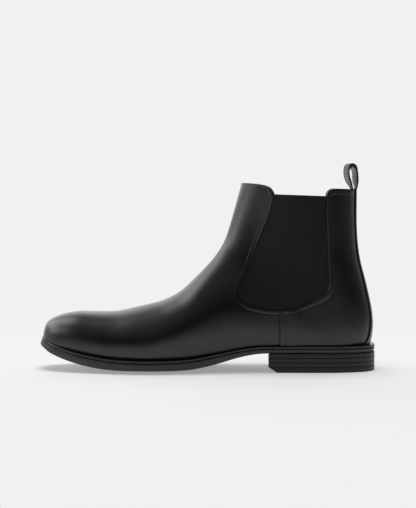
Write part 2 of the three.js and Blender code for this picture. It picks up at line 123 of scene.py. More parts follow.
# Front point x, z; back point x, z; half widths on the outer and inner side; sideways shift;
# where between back and front it is widest; fullness below and above that place.
SECTIONS = np.array([
    [-150.4, 27, -150.4, 27, 0, 0, 5, 0.5, 2.2, 2.2],
    [-149.7, 33, -150, 20.5, 7.6, 7.4, 5, 0.5, 2.3, 2.2],
    [-146.8, 41.6, -147.3, 14, 15, 14.4, 5, 0.5, 2.4, 2.2],
    [-139.9, 46.8, -140.8, 10, 22.4, 21.2, 4.8, 0.5, 2.5, 2.3],
    [-129, 50.4, -130, 8, 29.2, 27.4, 4.4, 0.48, 2.5, 2.3],
    [-116, 52.4, -117.5, 5, 35.2, 32.8, 3.8, 0.47, 2.5, 2.3],
    [-100, 52.2, -102, 2.5, 40.6, 37.8, 3, 0.46, 2.5, 2.2],
    [-84, 52.6, -86, 1, 45, 42.2, 2, 0.45, 2.5, 2.1],
    [-68, 55.6, -70, 0.3, 48.4, 46, 1, 0.44, 2.5, 2.05],
    [-53, 59.1, -53, 0, 50.2, 48, 0.3, 0.42, 2.5, 2],
    [-38.5, 63.4, -35, 0, 49.6, 46.8, 0, 0.46, 2.4, 2],
    [-25, 70.6, -14, 1.5, 47.2, 43.4, 0, 0.49, 2.4, 2],
    [-12, 82.4, 10, 4.5, 43.4, 39.6, 0, 0.51, 2.4, 2],
    [-2.9, 91.6, 38, 8.5, 39.6, 37.2, 0, 0.51, 2.45, 2],
    [4.8, 100, 70, 9.5, 37.2, 36, 0, 0.47, 2.65, 2],
    [10.6, 107.8, 102, 8.5, 36, 35.2, 0, 0.41, 2.9, 2],
    [14.6, 114.4, 128, 10, 35.5, 34.8, 0, 0.36, 3, 2],
    [17.4, 120.8, 144.6, 19.5, 34.8, 34.1, 0, 0.36, 2.7, 2],
    [19.7, 127.8, 149.3, 34, 34.1, 33.5, 0, 0.36, 2.5, 2],
    [22.3, 136.6, 149, 52, 33.6, 33.1, 0, 0.38, 2.4, 2],
    [25.2, 147, 143.8, 77, 33.8, 33.3, 0, 0.42, 2.3, 2],
    [27.8, 157, 137.4, 103, 34.7, 34.1, 0, 0.45, 2.2, 2],
    [29.8, 164.4, 134.6, 131, 35.9, 35.3, 0, 0.48, 2.15, 2],
    [31.3, 170.6, 134.4, 160, 37, 36.4, 0, 0.5, 2.1, 2],
    [33.8, 181, 134.4, 182, 37.8, 37.2, 0, 0.5, 2.1, 2],
])
SHIFT_Y = 0.87  # sets the middle of the boot's box on the frame's X axis
TOE_X = -150.2
TOE_SHIFT = 5  # how far the tip of the toe lies towards the inner side


def section_at(u):
    """The ten values of the section at each u from 0 (toe) to 1, as Catmull-Rom."""
    last = len(SECTIONS) - 1
    place = np.clip(u, 0, 1) * last
    i = np.minimum(place.astype(int), last - 1)
    t = (place - i)[:, None]
    a, b, c, d = (SECTIONS[np.clip(i + k, 0, last)] for k in (-1, 0, 1, 2))
    square = (2 * a - 5 * b + 4 * c - d) * t * t
    cube = (3 * b - a - 3 * c + d) * t ** 3
    return (b + 0.5 * ((c - a) * t + square + cube)).T


def form_point(u, angle):
    """Points of the form: angle 0 is the back line, pi the front; the outer side between."""
    fx, fz, bx, bz, outer, inner, shift, widest, below, above = section_at(u)
    cos, sin = np.cos(angle), np.sin(angle)
    fullness = np.where(cos > 0, below, above)
    along = np.abs(cos) ** (2 / fullness)
    across = np.abs(sin) ** (2 / fullness)
    t = np.where(cos > 0, widest * (1 - along), widest + (1 - widest) * along)
    y = np.where(sin > 0, -outer * across, inner * across)
    return np.stack([bx + (fx - bx) * t, shift + y + SHIFT_Y, bz + (fz - bz) * t], 1)


def form_normal(u, angle):
    """Unit vectors out of the form."""
    step_u, step_angle = 0.0015, 0.012
    u = np.clip(u, 0.003, 1 - step_u)
    along = form_point(u + step_u, angle) - form_point(u - step_u, angle)
    round_it = form_point(u, angle + step_angle) - form_point(u, angle - step_angle)
    out = np.cross(along, round_it)
    return out / np.linalg.norm(out, axis=1, keepdims=True)


def place_in_side_view(x, z, side):
    """(u, angle) of the form's point at x, z on one side."""
    x, z = np.broadcast_arrays(np.asarray(x, float), np.asarray(z, float))
    low, high = np.zeros(x.size), np.ones(x.size)
    for _ in range(40):
        middle = (low + high) / 2
        fx, fz, bx, bz = section_at(middle)[:4]
        ahead = (fx - bx) * (z - bz) - (fz - bz) * (x - bx) > 0
        high = np.where(ahead, middle, high)
        low = np.where(ahead, low, middle)
    fx, fz, bx, bz, *_, widest, below, above = section_at(low)
    t = ((x - bx) * (fx - bx) + (z - bz) * (fz - bz)) / ((fx - bx) ** 2 + (fz - bz) ** 2)
    t = np.clip(t, 0, 1)
    under = t < widest
    share = np.where(under, 1 - t / widest, (t - widest) / (1 - widest))
    cos = np.where(under, 1, -1) * share ** (np.where(under, below, above) / 2)
    angle = np.arccos(np.clip(cos, -1, 1))
    return low, angle if side == OUTER else 2 * math.pi - angle


def side_y(x, z, side):
    """y of the form's point at x, z on one side."""
    u, angle = place_in_side_view(x, z, side)
    return form_point(u, angle)[:, 1]


class Chart:
    """The form laid flat: a runs along the boot, b round it from the line at angle start."""

    def __init__(self, start):
        self.u = np.linspace(0, 1, 401)
        self.angles = start + np.linspace(-math.pi, math.pi, 361)
        u, angle = np.meshgrid(self.u, self.angles, indexing="ij")
        grid = form_point(u.ravel(), angle.ravel()).reshape(*u.shape, 3)
        steps = np.linalg.norm(np.diff(grid, axis=1), axis=2)
        around = np.concatenate([np.zeros((len(self.u), 1)), np.cumsum(steps, axis=1)], 1)
        self.b = around - around[:, [180]]
        ridge = np.linalg.norm(np.diff(grid[:, 180], axis=0), axis=1)
        edge = np.linalg.norm(np.diff(grid[:, 0], axis=0), axis=1)
        self.a = np.concatenate([[0], np.cumsum((ridge + edge) / 2)])

    def from_form(self, u, angle):
        """The chart's point for each place on the form."""
        start = self.angles[0]
        angle = start + (angle - start) % (2 * math.pi)
        row = np.clip(u, 0, 1) * (len(self.u) - 1)
        column = (angle - start) / (self.angles[1] - start)
        i = np.minimum(row.astype(int), len(self.u) - 2)
        j = np.minimum(column.astype(int), len(self.angles) - 2)
        f, g = row - i, column - j
        near = self.b[i, j] * (1 - g) + self.b[i, j + 1] * g
        far = self.b[i + 1, j] * (1 - g) + self.b[i + 1, j + 1] * g
        return np.stack([np.interp(u, self.u, self.a), near * (1 - f) + far * f], 1)

    def from_side_view(self, x, z, side):
        return self.from_form(*place_in_side_view(x, z, side))

    def to_form(self, flat):
        """(u, angle) of each of the chart's points."""
        u = np.interp(flat[:, 0], self.a, self.u)
        row = u * (len(self.u) - 1)
        first = np.minimum(row.astype(int), len(self.u) - 2)
        angle = np.empty(len(flat))
        for i in np.unique(first):
            here = first == i
            f = row[here] - i
            ends = [self.b[i, [0, -1]], self.b[i + 1, [0, -1]]]
            share = flat[here, 1] / np.where(
                flat[here, 1] < 0,
                ends[0][0] * (1 - f) + ends[1][0] * f,
                ends[0][1] * (1 - f) + ends[1][1] * f,
            )
            sign = np.where(flat[here, 1] < 0, 0, 1)
            rows = [
                np.interp(share * ends[k][sign], self.b[i + k], self.angles) for k in (0, 1)
            ]
            angle[here] = rows[0] * (1 - f) + rows[1] * f
        return u, angle


front_chart = Chart(math.pi)
back_chart = Chart(0.0)

# ---- lines and distances


def spline(points, spacing=1.2):
    """Evenly spaced points on a smooth line through the given ones."""
    points = np.array(points, float)
    padded = np.vstack([2 * points[0] - points[1], points, 2 * points[-1] - points[-2]])
    fine = []
    t = np.linspace(0, 1, 24, endpoint=False)[:, None]
    for a, b, c, d in zip(padded, padded[1:], padded[2:], padded[3:]):
        fine.append(0.5 * (
            2 * b + (c - a) * t + (2 * a - 5 * b + 4 * c - d) * t * t
            + (3 * b - a - 3 * c + d) * t ** 3
        ))
    fine = np.vstack(fine + [points[-1:]])
    return resample(fine, spacing)


def resample(line, spacing):
    """The polyline again, with its points evenly spaced."""
    steps = np.linalg.norm(np.diff(line, axis=0), axis=1)
    length = np.concatenate([[0], np.cumsum(steps)])
    count = max(2, int(round(length[-1] / spacing)) + 1)
    places = np.linspace(0, length[-1], count)
    return np.stack([np.interp(places, length, line[:, k]) for k in range(line.shape[1])], 1)


def distance_to(points, line):
    """Distance of each point to a polyline, in the chart's millimetres."""
    nearest = np.full(len(points), 1e9)
    for k in range(len(line) - 1):
        start, along = line[k], line[k + 1] - line[k]
        share = np.clip(((points - start) @ along) / max(along @ along, 1e-12), 0, 1)
        gap = points - start - share[:, None] * along
        nearest = np.minimum(nearest, np.einsum("ij,ij->i", gap, gap))
    return np.sqrt(nearest)


def inside(points, loop):
    """Which points lie in a closed outline."""
    x, y = points[:, 0], points[:, 1]
    result = np.zeros(len(points), bool)
    ahead = np.roll(loop, -1, axis=0)
    for (x0, y0), (x1, y1) in zip(loop, ahead):
        crosses = (y0 > y) != (y1 > y)
        at = x0 + (y - y0) * (x1 - x0) / (y1 - y0 if y1 != y0 else 1e-12)
        result ^= crosses & (x < at)
    return result


def inward_normals(loop):
    """At each point of a closed outline, the unit vector towards its inside."""
    along = np.roll(loop, -1, axis=0) - np.roll(loop, 1, axis=0)
    left = np.stack([-along[:, 1], along[:, 0]], 1)
    left /= np.maximum(np.linalg.norm(left, axis=1, keepdims=True), 1e-9)
    x, y = loop.T
    area = np.sum(x * np.roll(y, -1) - np.roll(x, -1) * y)
    return left if area > 0 else -left


# ---- meshes


def mesh_object(name, vertices, faces, material, sharp=None):
    mesh = bpy.data.meshes.new(name)
    mesh.from_pydata([tuple(v) for v in np.asarray(vertices) * MM], [], faces)
    mesh.validate()
    mesh.materials.append(material)
    mesh.shade_smooth()
    if sharp is not None:
        mesh.set_sharp_from_angle(angle=math.radians(sharp))
    obj = bpy.data.objects.new(name, mesh)
    bpy.context.scene.collection.objects.link(obj)
    return obj


def outward(vertices, faces):
    """The faces, turned over if they point inwards."""
    volume = 0.0
    for face in faces:
        a, b, c = vertices[face[0]], vertices[face[1]], vertices[face[2]]
        volume += np.dot(a, np.cross(b, c))
        if len(face) == 4:
            volume += np.dot(a, np.cross(c, vertices[face[3]]))
    return faces if volume > 0 else [tuple(reversed(face)) for face in faces]


def tube_faces(count, size, closed=False):
    """Quads between count rings of size points; closed joins the last ring to the first."""
    faces = []
    for i in range(count if closed else count - 1):
        after = (i + 1) % count
        for j in range(size):
            right = (j + 1) % size
            faces.append(
                (i * size + j, after * size + j, after * size + right, i * size + right)
            )
    return faces


def end_caps(count, size):
    """The faces that close the first and the last ring of a tube."""
    return [tuple(range(size)), tuple(reversed(range((count - 1) * size, count * size)))]


# Distances from a panel's edge at which its mesh has a row of points
EDGE_RINGS = (0.15, 0.35, 0.62, 0.95, 1.5, 2.3, 3.2, 3.8, 4.3, 4.8, 5.6, 6.7)


def fill_outline(loop, rings, spacing):
    """Triangles over a closed outline in the chart, with rows of points along its edge."""
    normals = inward_normals(loop)
    closed = np.vstack([loop, loop[:1]])
    points = [loop]
    for ring in rings:
        row = loop + normals * ring
        clear = inside(row, loop) & (distance_to(row, closed) > 0.93 * ring)
        points.append(row[clear])
    low, high = loop.min(0), loop.max(0)
    across = np.arange(low[0], high[0], spacing)
    up = np.arange(low[1], high[1], spacing * 0.866)
    x, y = np.meshgrid(across, up)
    x = x + (np.arange(len(up)) % 2)[:, None] * spacing / 2
    field = np.stack([x.ravel(), y.ravel()], 1)
    field = field[inside(field, loop)]
    field = field[distance_to(field, closed) > (rings[-1] if rings else 0) + spacing * 0.6]
    points = np.vstack(points + [field])
    result = delaunay_2d_cdt(
        [Vector(p) for p in points], [], [list(range(len(loop)))], 1, 1e-6, True
    )
    flat = np.array([tuple(v) for v in result[0]])
    faces = np.array([tuple(face) for face in result[2]])
    faces = faces[inside(flat[faces].mean(axis=1), loop)]
    return flat, [tuple(face) for face in faces.tolist()]


def rim_edges(faces):
    """Directed edges that only one face has."""
    seen = set()
    for face in faces:
        seen.update(zip(face, face[1:] + face[:1]))
    return [(a, b) for a, b in seen if (b, a) not in seen]


def sheet(top, bottom, faces):
    """Vertices and faces of a sheet with two sides and a wall along every edge."""
    shift = len(top)
    under = [tuple(k + shift for k in reversed(face)) for face in faces]
    wall = [(b, a, a + shift, b + shift) for a, b in rim_edges(faces)]
    return np.vstack([top, bottom]), faces + under + wall


def panel(name, chart, loop, lift, thickness, material, rings=EDGE_RINGS, spacing=2.4):
    """A curved panel: outer face lifted off the form by lift, with a wall and an inner face."""
    flat, faces = fill_outline(loop, rings, spacing)
    u, angle = chart.to_form(flat)
    base, normal = form_point(u, angle), form_normal(u, angle)
    height = lift(flat, base)
    thick = thickness(flat, base) if callable(thickness) else thickness
    top = base + normal * np.broadcast_to(height, len(flat))[:, None]
    bottom = base + normal * np.broadcast_to(height - thick, len(flat))[:, None]
    a, b, c = top[faces[0][0]], top[faces[0][1]], top[faces[0][2]]
    if np.dot(np.cross(b - a, c - a), normal[faces[0][0]]) < 0:
        faces = [face[::-1] for face in faces]
    return mesh_object(name, *sheet(top, bottom, faces), material, sharp=50)


def finish_piece(obj, nodes):
    """Declares a piece of the boot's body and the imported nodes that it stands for."""
    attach(obj, "boot")
    if nodes:
        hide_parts(*nodes)
    return obj


# ---- materials


class Tree:
    """Short hand for building a node tree."""

    def __init__(self, tree):
        self.tree = tree

    def add(self, kind, **inputs):
        node = self.tree.nodes.new(kind)
        for key, value in inputs.items():
            self.feed(node.inputs[key.replace("_", " ")], value)
        return node

    def feed(self, socket, value):
        if isinstance(value, bpy.types.NodeSocket):
            self.tree.links.new(value, socket)
        else:
            socket.default_value = value

    def math(self, operation, first, second=0.0):
        node = self.add("ShaderNodeMath")
        node.operation = operation
        self.feed(node.inputs[0], first)
        self.feed(node.inputs[1], second)
        return node.outputs[0]

    def spread(self, value, low, high, to_low=0.0, to_high=1.0, shape="LINEAR"):
        node = self.add("ShaderNodeMapRange")
        node.interpolation_type = shape
        for index, number in enumerate([value, low, high, to_low, to_high]):
            self.feed(node.inputs[index], number)
        return node.outputs[0]

    def blend(self, share, first, second):
        """Two shaders mixed."""
        node = self.add("ShaderNodeMixShader")
        for index, value in enumerate([share, first, second]):
            self.feed(node.inputs[index], value)
        return node.outputs[0]


class Nodes(Tree):
    """The node tree of one material."""

    def __init__(self, name):
        self.material = bpy.data.materials.new(name)
        self.material.use_nodes = True
        super().__init__(self.material.node_tree)
        self.shader = self.tree.nodes["Principled BSDF"]
        self.place = self.add("ShaderNodeTexCoord").outputs["Object"]

    def noise(self, scale, detail=3.0, roughness=0.5, at=None):
        node = self.add("ShaderNodeTexNoise", Scale=scale, Detail=detail, Roughness=roughness)
        self.feed(node.inputs["Vector"], at or self.place)
        return node.outputs["Fac"]

    def cells(self, scale, feature="F1"):
        node = self.add("ShaderNodeTexVoronoi", Scale=scale, Vector=self.place)
        node.feature = feature
        return node.outputs["Distance"]

    def mix(self, share, first, second):
        node = self.add("ShaderNodeMix")
        node.data_type = "RGBA"
        self.feed(node.inputs["Factor"], share)
        self.feed(node.inputs[6], first)
        self.feed(node.inputs[7], second)
        return node.outputs[2]

    def bump(self, height, strength, distance, before=None):
        node = self.add("ShaderNodeBump", Strength=strength, Distance=distance, Height=height)
        if before is not None:
            self.feed(node.inputs["Normal"], before)
        return node.outputs["Normal"]

    def finish(self, color, roughness, normal=None, **constants):
        self.feed(self.shader.inputs["Base Color"], color)
        self.feed(self.shader.inputs["Roughness"], roughness)
        if normal is not None:
            self.feed(self.shader.inputs["Normal"], normal)
        for key, value in constants.items():
            self.shader.inputs[key.replace("_", " ")].default_value = value
        return self.material


def grey(value, blue=0.0):
    return (value, value * (1 + blue * 0.4), value * (1 + blue), 1)


def leather_material(name, color, roughness, grain=1.0):
    """Fine creases and pores, cloudy polish and a little dust."""
    n = Nodes(name)
    cloud = n.noise(28, 4)
    broad = n.noise(9, 2)
    tone = n.mix(n.spread(cloud, 0.3, 0.7), color, tuple(c * 1.9 for c in color[:3]) + (1,))
    dust = n.spread(n.noise(5200, 1), 0.70, 0.76)
    tone = n.mix(n.math("MULTIPLY", dust, 0.12), tone, grey(0.09))
    blend = n.math("ADD", n.math("MULTIPLY", cloud, 0.5), n.math("MULTIPLY", broad, 0.5))
    shine = n.spread(blend, 0.35, 0.65, roughness - 0.06, roughness + 0.07)
    creases = n.cells(1500, "DISTANCE_TO_EDGE")
    pores = n.noise(2600, 2)
    height = n.math("ADD", n.math("MULTIPLY", n.spread(creases, 0.0, 0.22), 0.6),
                    n.math("MULTIPLY", pores, 0.4))
    fine = n.bump(height, 0.18 * grain, 0.0001)
    soft = n.bump(n.noise(45, 2), 0.3, 0.0006, fine)
    return n.finish(tone, shine, soft, Specular_IOR_Level=0.5, Coat_Weight=0.25,
                    Coat_Roughness=0.3)


def elastic_material():
    """The same diamonds as the gore's mesh, with painted highlights on the raised yarn and ribs
    between.
    """
    n = Nodes("woven_elastic")
    parts = n.add("ShaderNodeSeparateXYZ", Vector=n.place)

    def wave(axis, pitch):
        return n.math("COSINE", n.math("MULTIPLY", parts.outputs[axis], 2 * math.pi / pitch / MM))

    diamonds = n.math("MULTIPLY", wave("X", WEAVE_ACROSS), wave("Z", WEAVE_UP))
    fuzz = n.noise(3600, 3)
    raised = n.math("ADD", n.math("MULTIPLY", diamonds, 0.8), n.math("MULTIPLY", fuzz, 0.5))
    # painted highlight: the yarn on the raised diamonds is coloured lighter, where light would
    # catch it; the yarn itself is as dark as the rest
    tone = n.mix(n.spread(raised, 0.0, 1.05), grey(0.0006), grey(0.055))
    tone = n.mix(n.spread(n.noise(45, 2), 0.3, 0.7, 0.0, 0.3), tone, grey(0.008))
    ribs = n.math("MULTIPLY", wave("X", 0.45), 0.3)
    height = n.math("ADD", n.math("ADD", diamonds, fuzz), ribs)
    return n.finish(tone, 0.75, n.bump(height, 0.55, 0.00025), Specular_IOR_Level=0.25,
                    Sheen_Weight=0.03, Sheen_Roughness=0.5)


def thread_material():
    n = Nodes("waxed_thread")
    parts = n.add("ShaderNodeSeparateXYZ", Vector=n.place)
    phase = n.math("ADD", parts.outputs["Z"], parts.outputs["X"])
    twist = n.math("SINE", n.math("MULTIPLY", phase, 2 * math.pi / 0.0005))
    tone = n.mix(n.spread(n.noise(900, 2), 0.3, 0.7), grey(0.005), grey(0.012))
    return n.finish(tone, 0.55, n.bump(twist, 0.5, 0.0001))


def lining_material():
    n = Nodes("lining_leather")
    cloud = n.noise(40, 4)
    tone = n.mix(n.spread(cloud, 0.3, 0.7), grey(0.012), grey(0.022))
    height = n.math("ADD", n.cells(1100, "DISTANCE_TO_EDGE"), n.noise(1800, 3))
    return n.finish(tone, n.spread(cloud, 0.3, 0.7, 0.62, 0.78), n.bump(height, 0.35, 0.0002))


def layered_material(name, color, roughness, layer_pitch, strength):
    """Edge of pressed leather or board: fine layers in Z, rubbed and waxed."""
    n = Nodes(name)
    parts = n.add("ShaderNodeSeparateXYZ", Vector=n.place)
    wobble = n.math("MULTIPLY", n.noise(55, 2), 0.0012)
    z = n.math("ADD", parts.outputs["Z"], wobble)
    lines = n.math("SINE", n.math("MULTIPLY", z, 2 * math.pi / layer_pitch))
    fibres = n.noise(1500, 4)
    cloud = n.noise(70, 3)
    light = tuple(c * 2.4 for c in color[:3]) + (1,)
    share = n.math("ADD", n.math("MULTIPLY", lines, 0.25), cloud)
    tone = n.mix(n.spread(share, 0.3, 0.9), color, light)
    height = n.math("ADD", n.math("MULTIPLY", lines, 0.35), n.math("MULTIPLY", fibres, 0.5))
    shine = n.spread(cloud, 0.3, 0.7, roughness - 0.07, roughness + 0.08)
    return n.finish(tone, shine, n.bump(height, strength, 0.0003))


def rubber_material(name, tone):
    n = Nodes(name)
    cloud = n.noise(60, 4)
    scuffs = n.spread(n.noise(300, 5, 0.7), 0.62, 0.8)
    color = n.mix(n.spread(cloud, 0.3, 0.7), grey(tone), grey(tone * 2, 0.1))
    color = n.mix(n.math("MULTIPLY", scuffs, 0.35), color, grey(0.04))
    height = n.math("ADD", n.noise(2200, 2), n.math("MULTIPLY", n.cells(700), 0.4))
    return n.finish(color, n.spread(cloud, 0.3, 0.7, 0.42, 0.58), n.bump(height, 0.3, 0.0002))


def cork_material():
    n = Nodes("cork")
    grains = n.cells(420)
    tone = n.mix(n.spread(grains, 0.1, 0.7), (0.36, 0.19, 0.08, 1), (0.16, 0.07, 0.03, 1))
    tone = n.mix(n.spread(n.noise(900, 4), 0.55, 0.7), tone, (0.05, 0.025, 0.012, 1))
    return n.finish(tone, 0.9, n.bump(grains, 0.7, 0.0006))


def board_material():
    n = Nodes("fibre_board")
    fibres = n.noise(1300, 5, 0.7)
    tone = n.mix(n.spread(fibres, 0.3, 0.7), (0.24, 0.16, 0.09, 1), (0.13, 0.08, 0.05, 1))
    tone = n.mix(n.spread(n.noise(50, 3), 0.4, 0.7), tone, (0.19, 0.12, 0.07, 1))
    return n.finish(tone, 0.85, n.bump(fibres, 0.5, 0.0004))


def foam_material():
    n = Nodes("foam")
    cells = n.cells(1400)
    tone = n.mix(n.spread(cells, 0.1, 0.6), grey(0.015), grey(0.05))
    return n.finish(tone, 0.95, n.bump(cells, 0.6, 0.0004))


def steel_material():
    n = Nodes("spring_steel")
    parts = n.add("ShaderNodeMapping", Vector=n.place)
    parts.inputs["Scale"].default_value = (40, 900, 900)
    brushed = n.noise(3, 4, 0.6, parts.outputs["Vector"])
    tone = n.mix(n.spread(brushed, 0.3, 0.7), (0.36, 0.37, 0.39, 1), (0.55, 0.56, 0.58, 1))
    shine = n.spread(brushed, 0.3, 0.7, 0.25, 0.42)
    return n.finish(tone, shine, n.bump(brushed, 0.15, 0.0001), Metallic=1.0)


upper_leather = leather_material("polished_calf", (0.0032, 0.0035, 0.0042, 1), 0.355)
strap_leather = leather_material("strap_leather", (0.0035, 0.0035, 0.004, 1), 0.6, 1.4)
elastic = elastic_material()
thread = thread_material()
lining_leather = lining_material()
welt_edge = layered_material("waxed_welt", (0.014, 0.014, 0.015, 1), 0.3, 0.0011, 0.15)
heel_edge = layered_material("waxed_heel_stack", (0.0085, 0.0085, 0.009, 1), 0.42, 0.0013, 0.3)
sole_rubber = rubber_material("sole_rubber", 0.018)
top_piece_rubber = rubber_material("top_piece_rubber", 0.009)
cork = cork_material()
board = board_material()
foam = foam_material()
steel = steel_material()

# ---- outlines of the upper

SEAM_X = 64.8
SEAM_TOP = 55.8
SEAM_LAP = 5.0  # how far the vamp runs on under the quarter
SOLE_GAP = 0.15  # height of the upper's lower edge above the feather line
COLLAR_TOP = 169.5
COLLAR_FRONT = [
    (36, 169.4), (44, 168.4), (50.5, 166.9), (54.6, 164.9), (57.2, 162.0), (58.6, 158.9),
]
COLLAR_BACK = [(106.5, 157.3), (107.2, 160.4), (109.6, 162.9), (113.2, 164.1), (124, 164.0)]
GORE_FRONT = [
    (58.6, 158.9), (58.3, 156.5), (57.2, 151), (54.6, 142), (50.7, 131.4), (44.0, 114.8),
    (36.5, 94.0), (30.0, 80.5), (27.4, 72.6), (29.4, 66.2), (34.5, 61.8), (41.0, 59.2),
    (49.0, 57.4), (57, 56.3), (SEAM_X, SEAM_TOP),
]
GORE_REAR = [
    (SEAM_X, SEAM_TOP), (72, 56.4), (79, 57.9), (86.5, 60.8), (94.5, 65.2), (101.5, 69.2),
    (105.8, 72.2), (108.0, 76.0), (108.5, 81), (107.8, 104.7), (106.4, 138.4), (106.3, 150),
    (106.5, 157.3),
]


def side_line(points, side, chart):
    """A smooth line drawn in side view, laid into the chart."""
    x, z = spline(points, 1.3).T
    return chart.from_side_view(x, z, side)


def feather_points(from_x, to_x, side, chart, lift=SOLE_GAP):
    """The line just above the welt, laid into the chart."""
    x = np.linspace(from_x, to_x, 260)
    return resample(chart.from_side_view(x, feather(x) + lift, side), 1.6)


def on_ridge(chart, low, high, count, miss):
    """The place on the front ridge, u from low to high, where miss(points) is least."""
    u = np.linspace(low, high, count)
    ridge = np.full(count, math.pi)
    k = int(np.argmin(np.abs(miss(form_point(u, ridge)))))
    return chart.from_form(u[k:k + 1], ridge[:1])


def toe_tip(chart):
    """Where the upper's lower edge crosses the front ridge."""
    return on_ridge(chart, 0.0005, 0.08, 400, lambda p: p[:, 2] - feather(p[:, 0]) - SOLE_GAP)


def collar_over_ridge(chart):
    """The collar where it crosses the shaft's front, between its two front points."""
    return on_ridge(chart, 0.8, 1, 2000, lambda p: p[:, 2] - COLLAR_TOP)


def joined(*lines):
    """One closed outline from lines laid end to end, without doubled points."""
    loop = np.vstack(lines)
    gap = np.linalg.norm(loop - np.roll(loop, 1, axis=0), axis=1)
    return loop[gap > 0.25]


def seam_line(x, count, side, chart):
    z = np.linspace(feather(x) + SOLE_GAP, SEAM_TOP, count)
    return chart.from_side_view(np.full(count, x), z, side)


def vamp_edges(seam_x, chart):
    """Edges of the front half on each side: seam, gore, collar and sole."""
    sides = {}
    for side in (OUTER, INNER):
        gore = side_line(GORE_FRONT[:-1] + [(seam_x, SEAM_TOP)], side, chart)
        collar = side_line(COLLAR_FRONT, side, chart)
        seam = seam_line(seam_x, 24, side, chart)
        sole = feather_points(seam_x, TOE_X + 0.05, side, chart)
        sides[side] = dict(gore=gore[::-1], collar=collar[::-1], seam=seam, sole=sole)
    return sides


def over_front(sides, chart):
    """The collar over the front of the shaft, from side to side."""
    ends = [sides[side]["collar"][-1:] for side in (OUTER, INNER)]
    return np.vstack([ends[0], collar_over_ridge(chart), ends[1]])


def vamp_loop(sides, chart):
    one, other = sides[OUTER], sides[INNER]
    top = resample(over_front(sides, chart), 1.3)
    toe = np.vstack([other["sole"][-1:], toe_tip(chart), one["sole"][-1:]])
    return joined(
        one["seam"], one["gore"], one["collar"], top[1:-1], other["collar"][::-1],
        other["gore"][::-1], other["seam"][::-1], other["sole"], toe[1:-1], one["sole"][::-1],
    )


def back_line(chart, low_z, high_z, offset):
    """The back line of the form from low to high, moved sideways by offset."""
    u = np.linspace(0.62, 0.995, 700)
    point = form_point(u, np.zeros(u.size))
    rising = point[:, 0] > 120
    keep = rising & (point[:, 2] > low_z) & (point[:, 2] < high_z)
    a = np.interp(u[keep], chart.u, chart.a)
    return resample(np.stack([a, np.full(a.size, offset)], 1), 1.6)


INNER_SHIFT = 5.2  # how far back the inner gore's rear edge lies at the collar


def rear_line(points, side):
    """A line of the rear panel; on the inner side its top lies a little further back."""
    if side == OUTER:
        return points
    shifts = [INNER_SHIFT * float(ramp(z, 110, 157) * (1 - ramp(x, 112, 124))) for x, z in points]
    return [(x + shift, z) for (x, z), shift in zip(points, shifts)]


def quarter_edges(side, chart):
    """Edges of one quarter: gore, collar, seam, back and sole."""
    gore = side_line(rear_line(GORE_REAR, side), side, chart)
    collar = side_line(rear_line(COLLAR_BACK, side), side, chart)
    seam = seam_line(SEAM_X, 26, side, chart)
    back = back_line(chart, 24.0, 163.9, -side * 0.12)
    top = resample(np.vstack([collar[-1:], back[-1:]]), 1.3)[1:]
    sole = feather_points(146.6, SEAM_X, side, chart)
    return dict(gore=gore, collar=np.vstack([collar, top]), seam=seam, back=back, sole=sole)


def quarter_loop(edges):
    return joined(edges["seam"], edges["gore"], edges["collar"], edges["back"][::-1], edges["sole"])


# ---- relief of the panels


# Distances of the stitch rows from their edges
EDGE_ROW = 4.3
SEAM_ROW = 3.6
BACKSTAY_ROW = 2.2


def turned_edge(distance):
    """Height along a folded and stitched edge: rolled rim, padded band, sunk stitch row."""
    roll = -0.8 * (1 - np.clip(distance / 0.95, 0, 1)) ** 2 + 0.16 * bell(distance, 1.15, 0.6)
    band = 0.2 * ramp(distance, 0.3, 1.3)
    band = band * (1 - ramp(distance, EDGE_ROW - 1.2, EDGE_ROW + 0.5))
    return roll + band - 0.16 * bell(distance, EDGE_ROW, 0.4)


def raw_edge(distance):
    """Height along a cut edge."""
    return -0.4 * (1 - np.clip(distance / 0.45, 0, 1)) ** 2


def softness(base):
    """Slow waves that hand-lasted leather keeps, stronger where the foot bends."""
    x, y, z = base.T
    bend = bell(x, -38, 26) * bell(z, 52, 18)
    waves = np.sin(x / 5.2 + z / 9 + 0.6 * np.sin(y / 8)) * 0.10 * bend
    broad = 0.16 * np.sin(x / 23 + 1.3) * np.sin(z / 17 + y / 31)
    ankle = 0.22 * bell(z, 88, 16) * bell(x, 118, 24) * np.sin(z / 6.5 + x / 21)
    return waves + broad * ramp(z, 30, 60) + ankle


def vamp_lift(edges):
    gore = np.vstack([edges[OUTER]["gore"], edges[OUTER]["collar"]])
    other = np.vstack([edges[INNER]["gore"], edges[INNER]["collar"]])
    collar = over_front(edges, front_chart)

    def lift(flat, base):
        near = np.minimum(distance_to(flat, gore), distance_to(flat, other))
        near = np.minimum(near, distance_to(flat, collar))
        under_lap = ramp(base[:, 0], SEAM_X - 2.2, SEAM_X + 0.6) * (1 - ramp(base[:, 2], 53, 57))
        return turned_edge(near) - 0.6 * under_lap + softness(base) * ramp(near, 3, 12)

    return lift


def quarter_lift(edges):
    turned = np.vstack([edges["gore"], edges["collar"]])
    seam = edges["seam"]

    def lift(flat, base):
        near, lap = distance_to(flat, turned), distance_to(flat, seam)
        over = 0.8 * (1 - ramp(lap, 5.5, 15)) + raw_edge(lap) - 0.6 * bell(lap, SEAM_ROW, 0.6)
        return turned_edge(near) + over + softness(base) * ramp(near, 3, 12) * ramp(lap, 6, 16)

    return lift


def quarter_thickness(edges):
    def thickness(flat, base):
        return 0.8 + (LEATHER - 0.8) * ramp(distance_to(flat, edges["seam"]), 5.5, 15)

    return thickness


# ---- stitching

STITCH = 2.1  # length of one stitch
STITCH_PITCH = 2.75
STITCH_RADIUS = 0.3


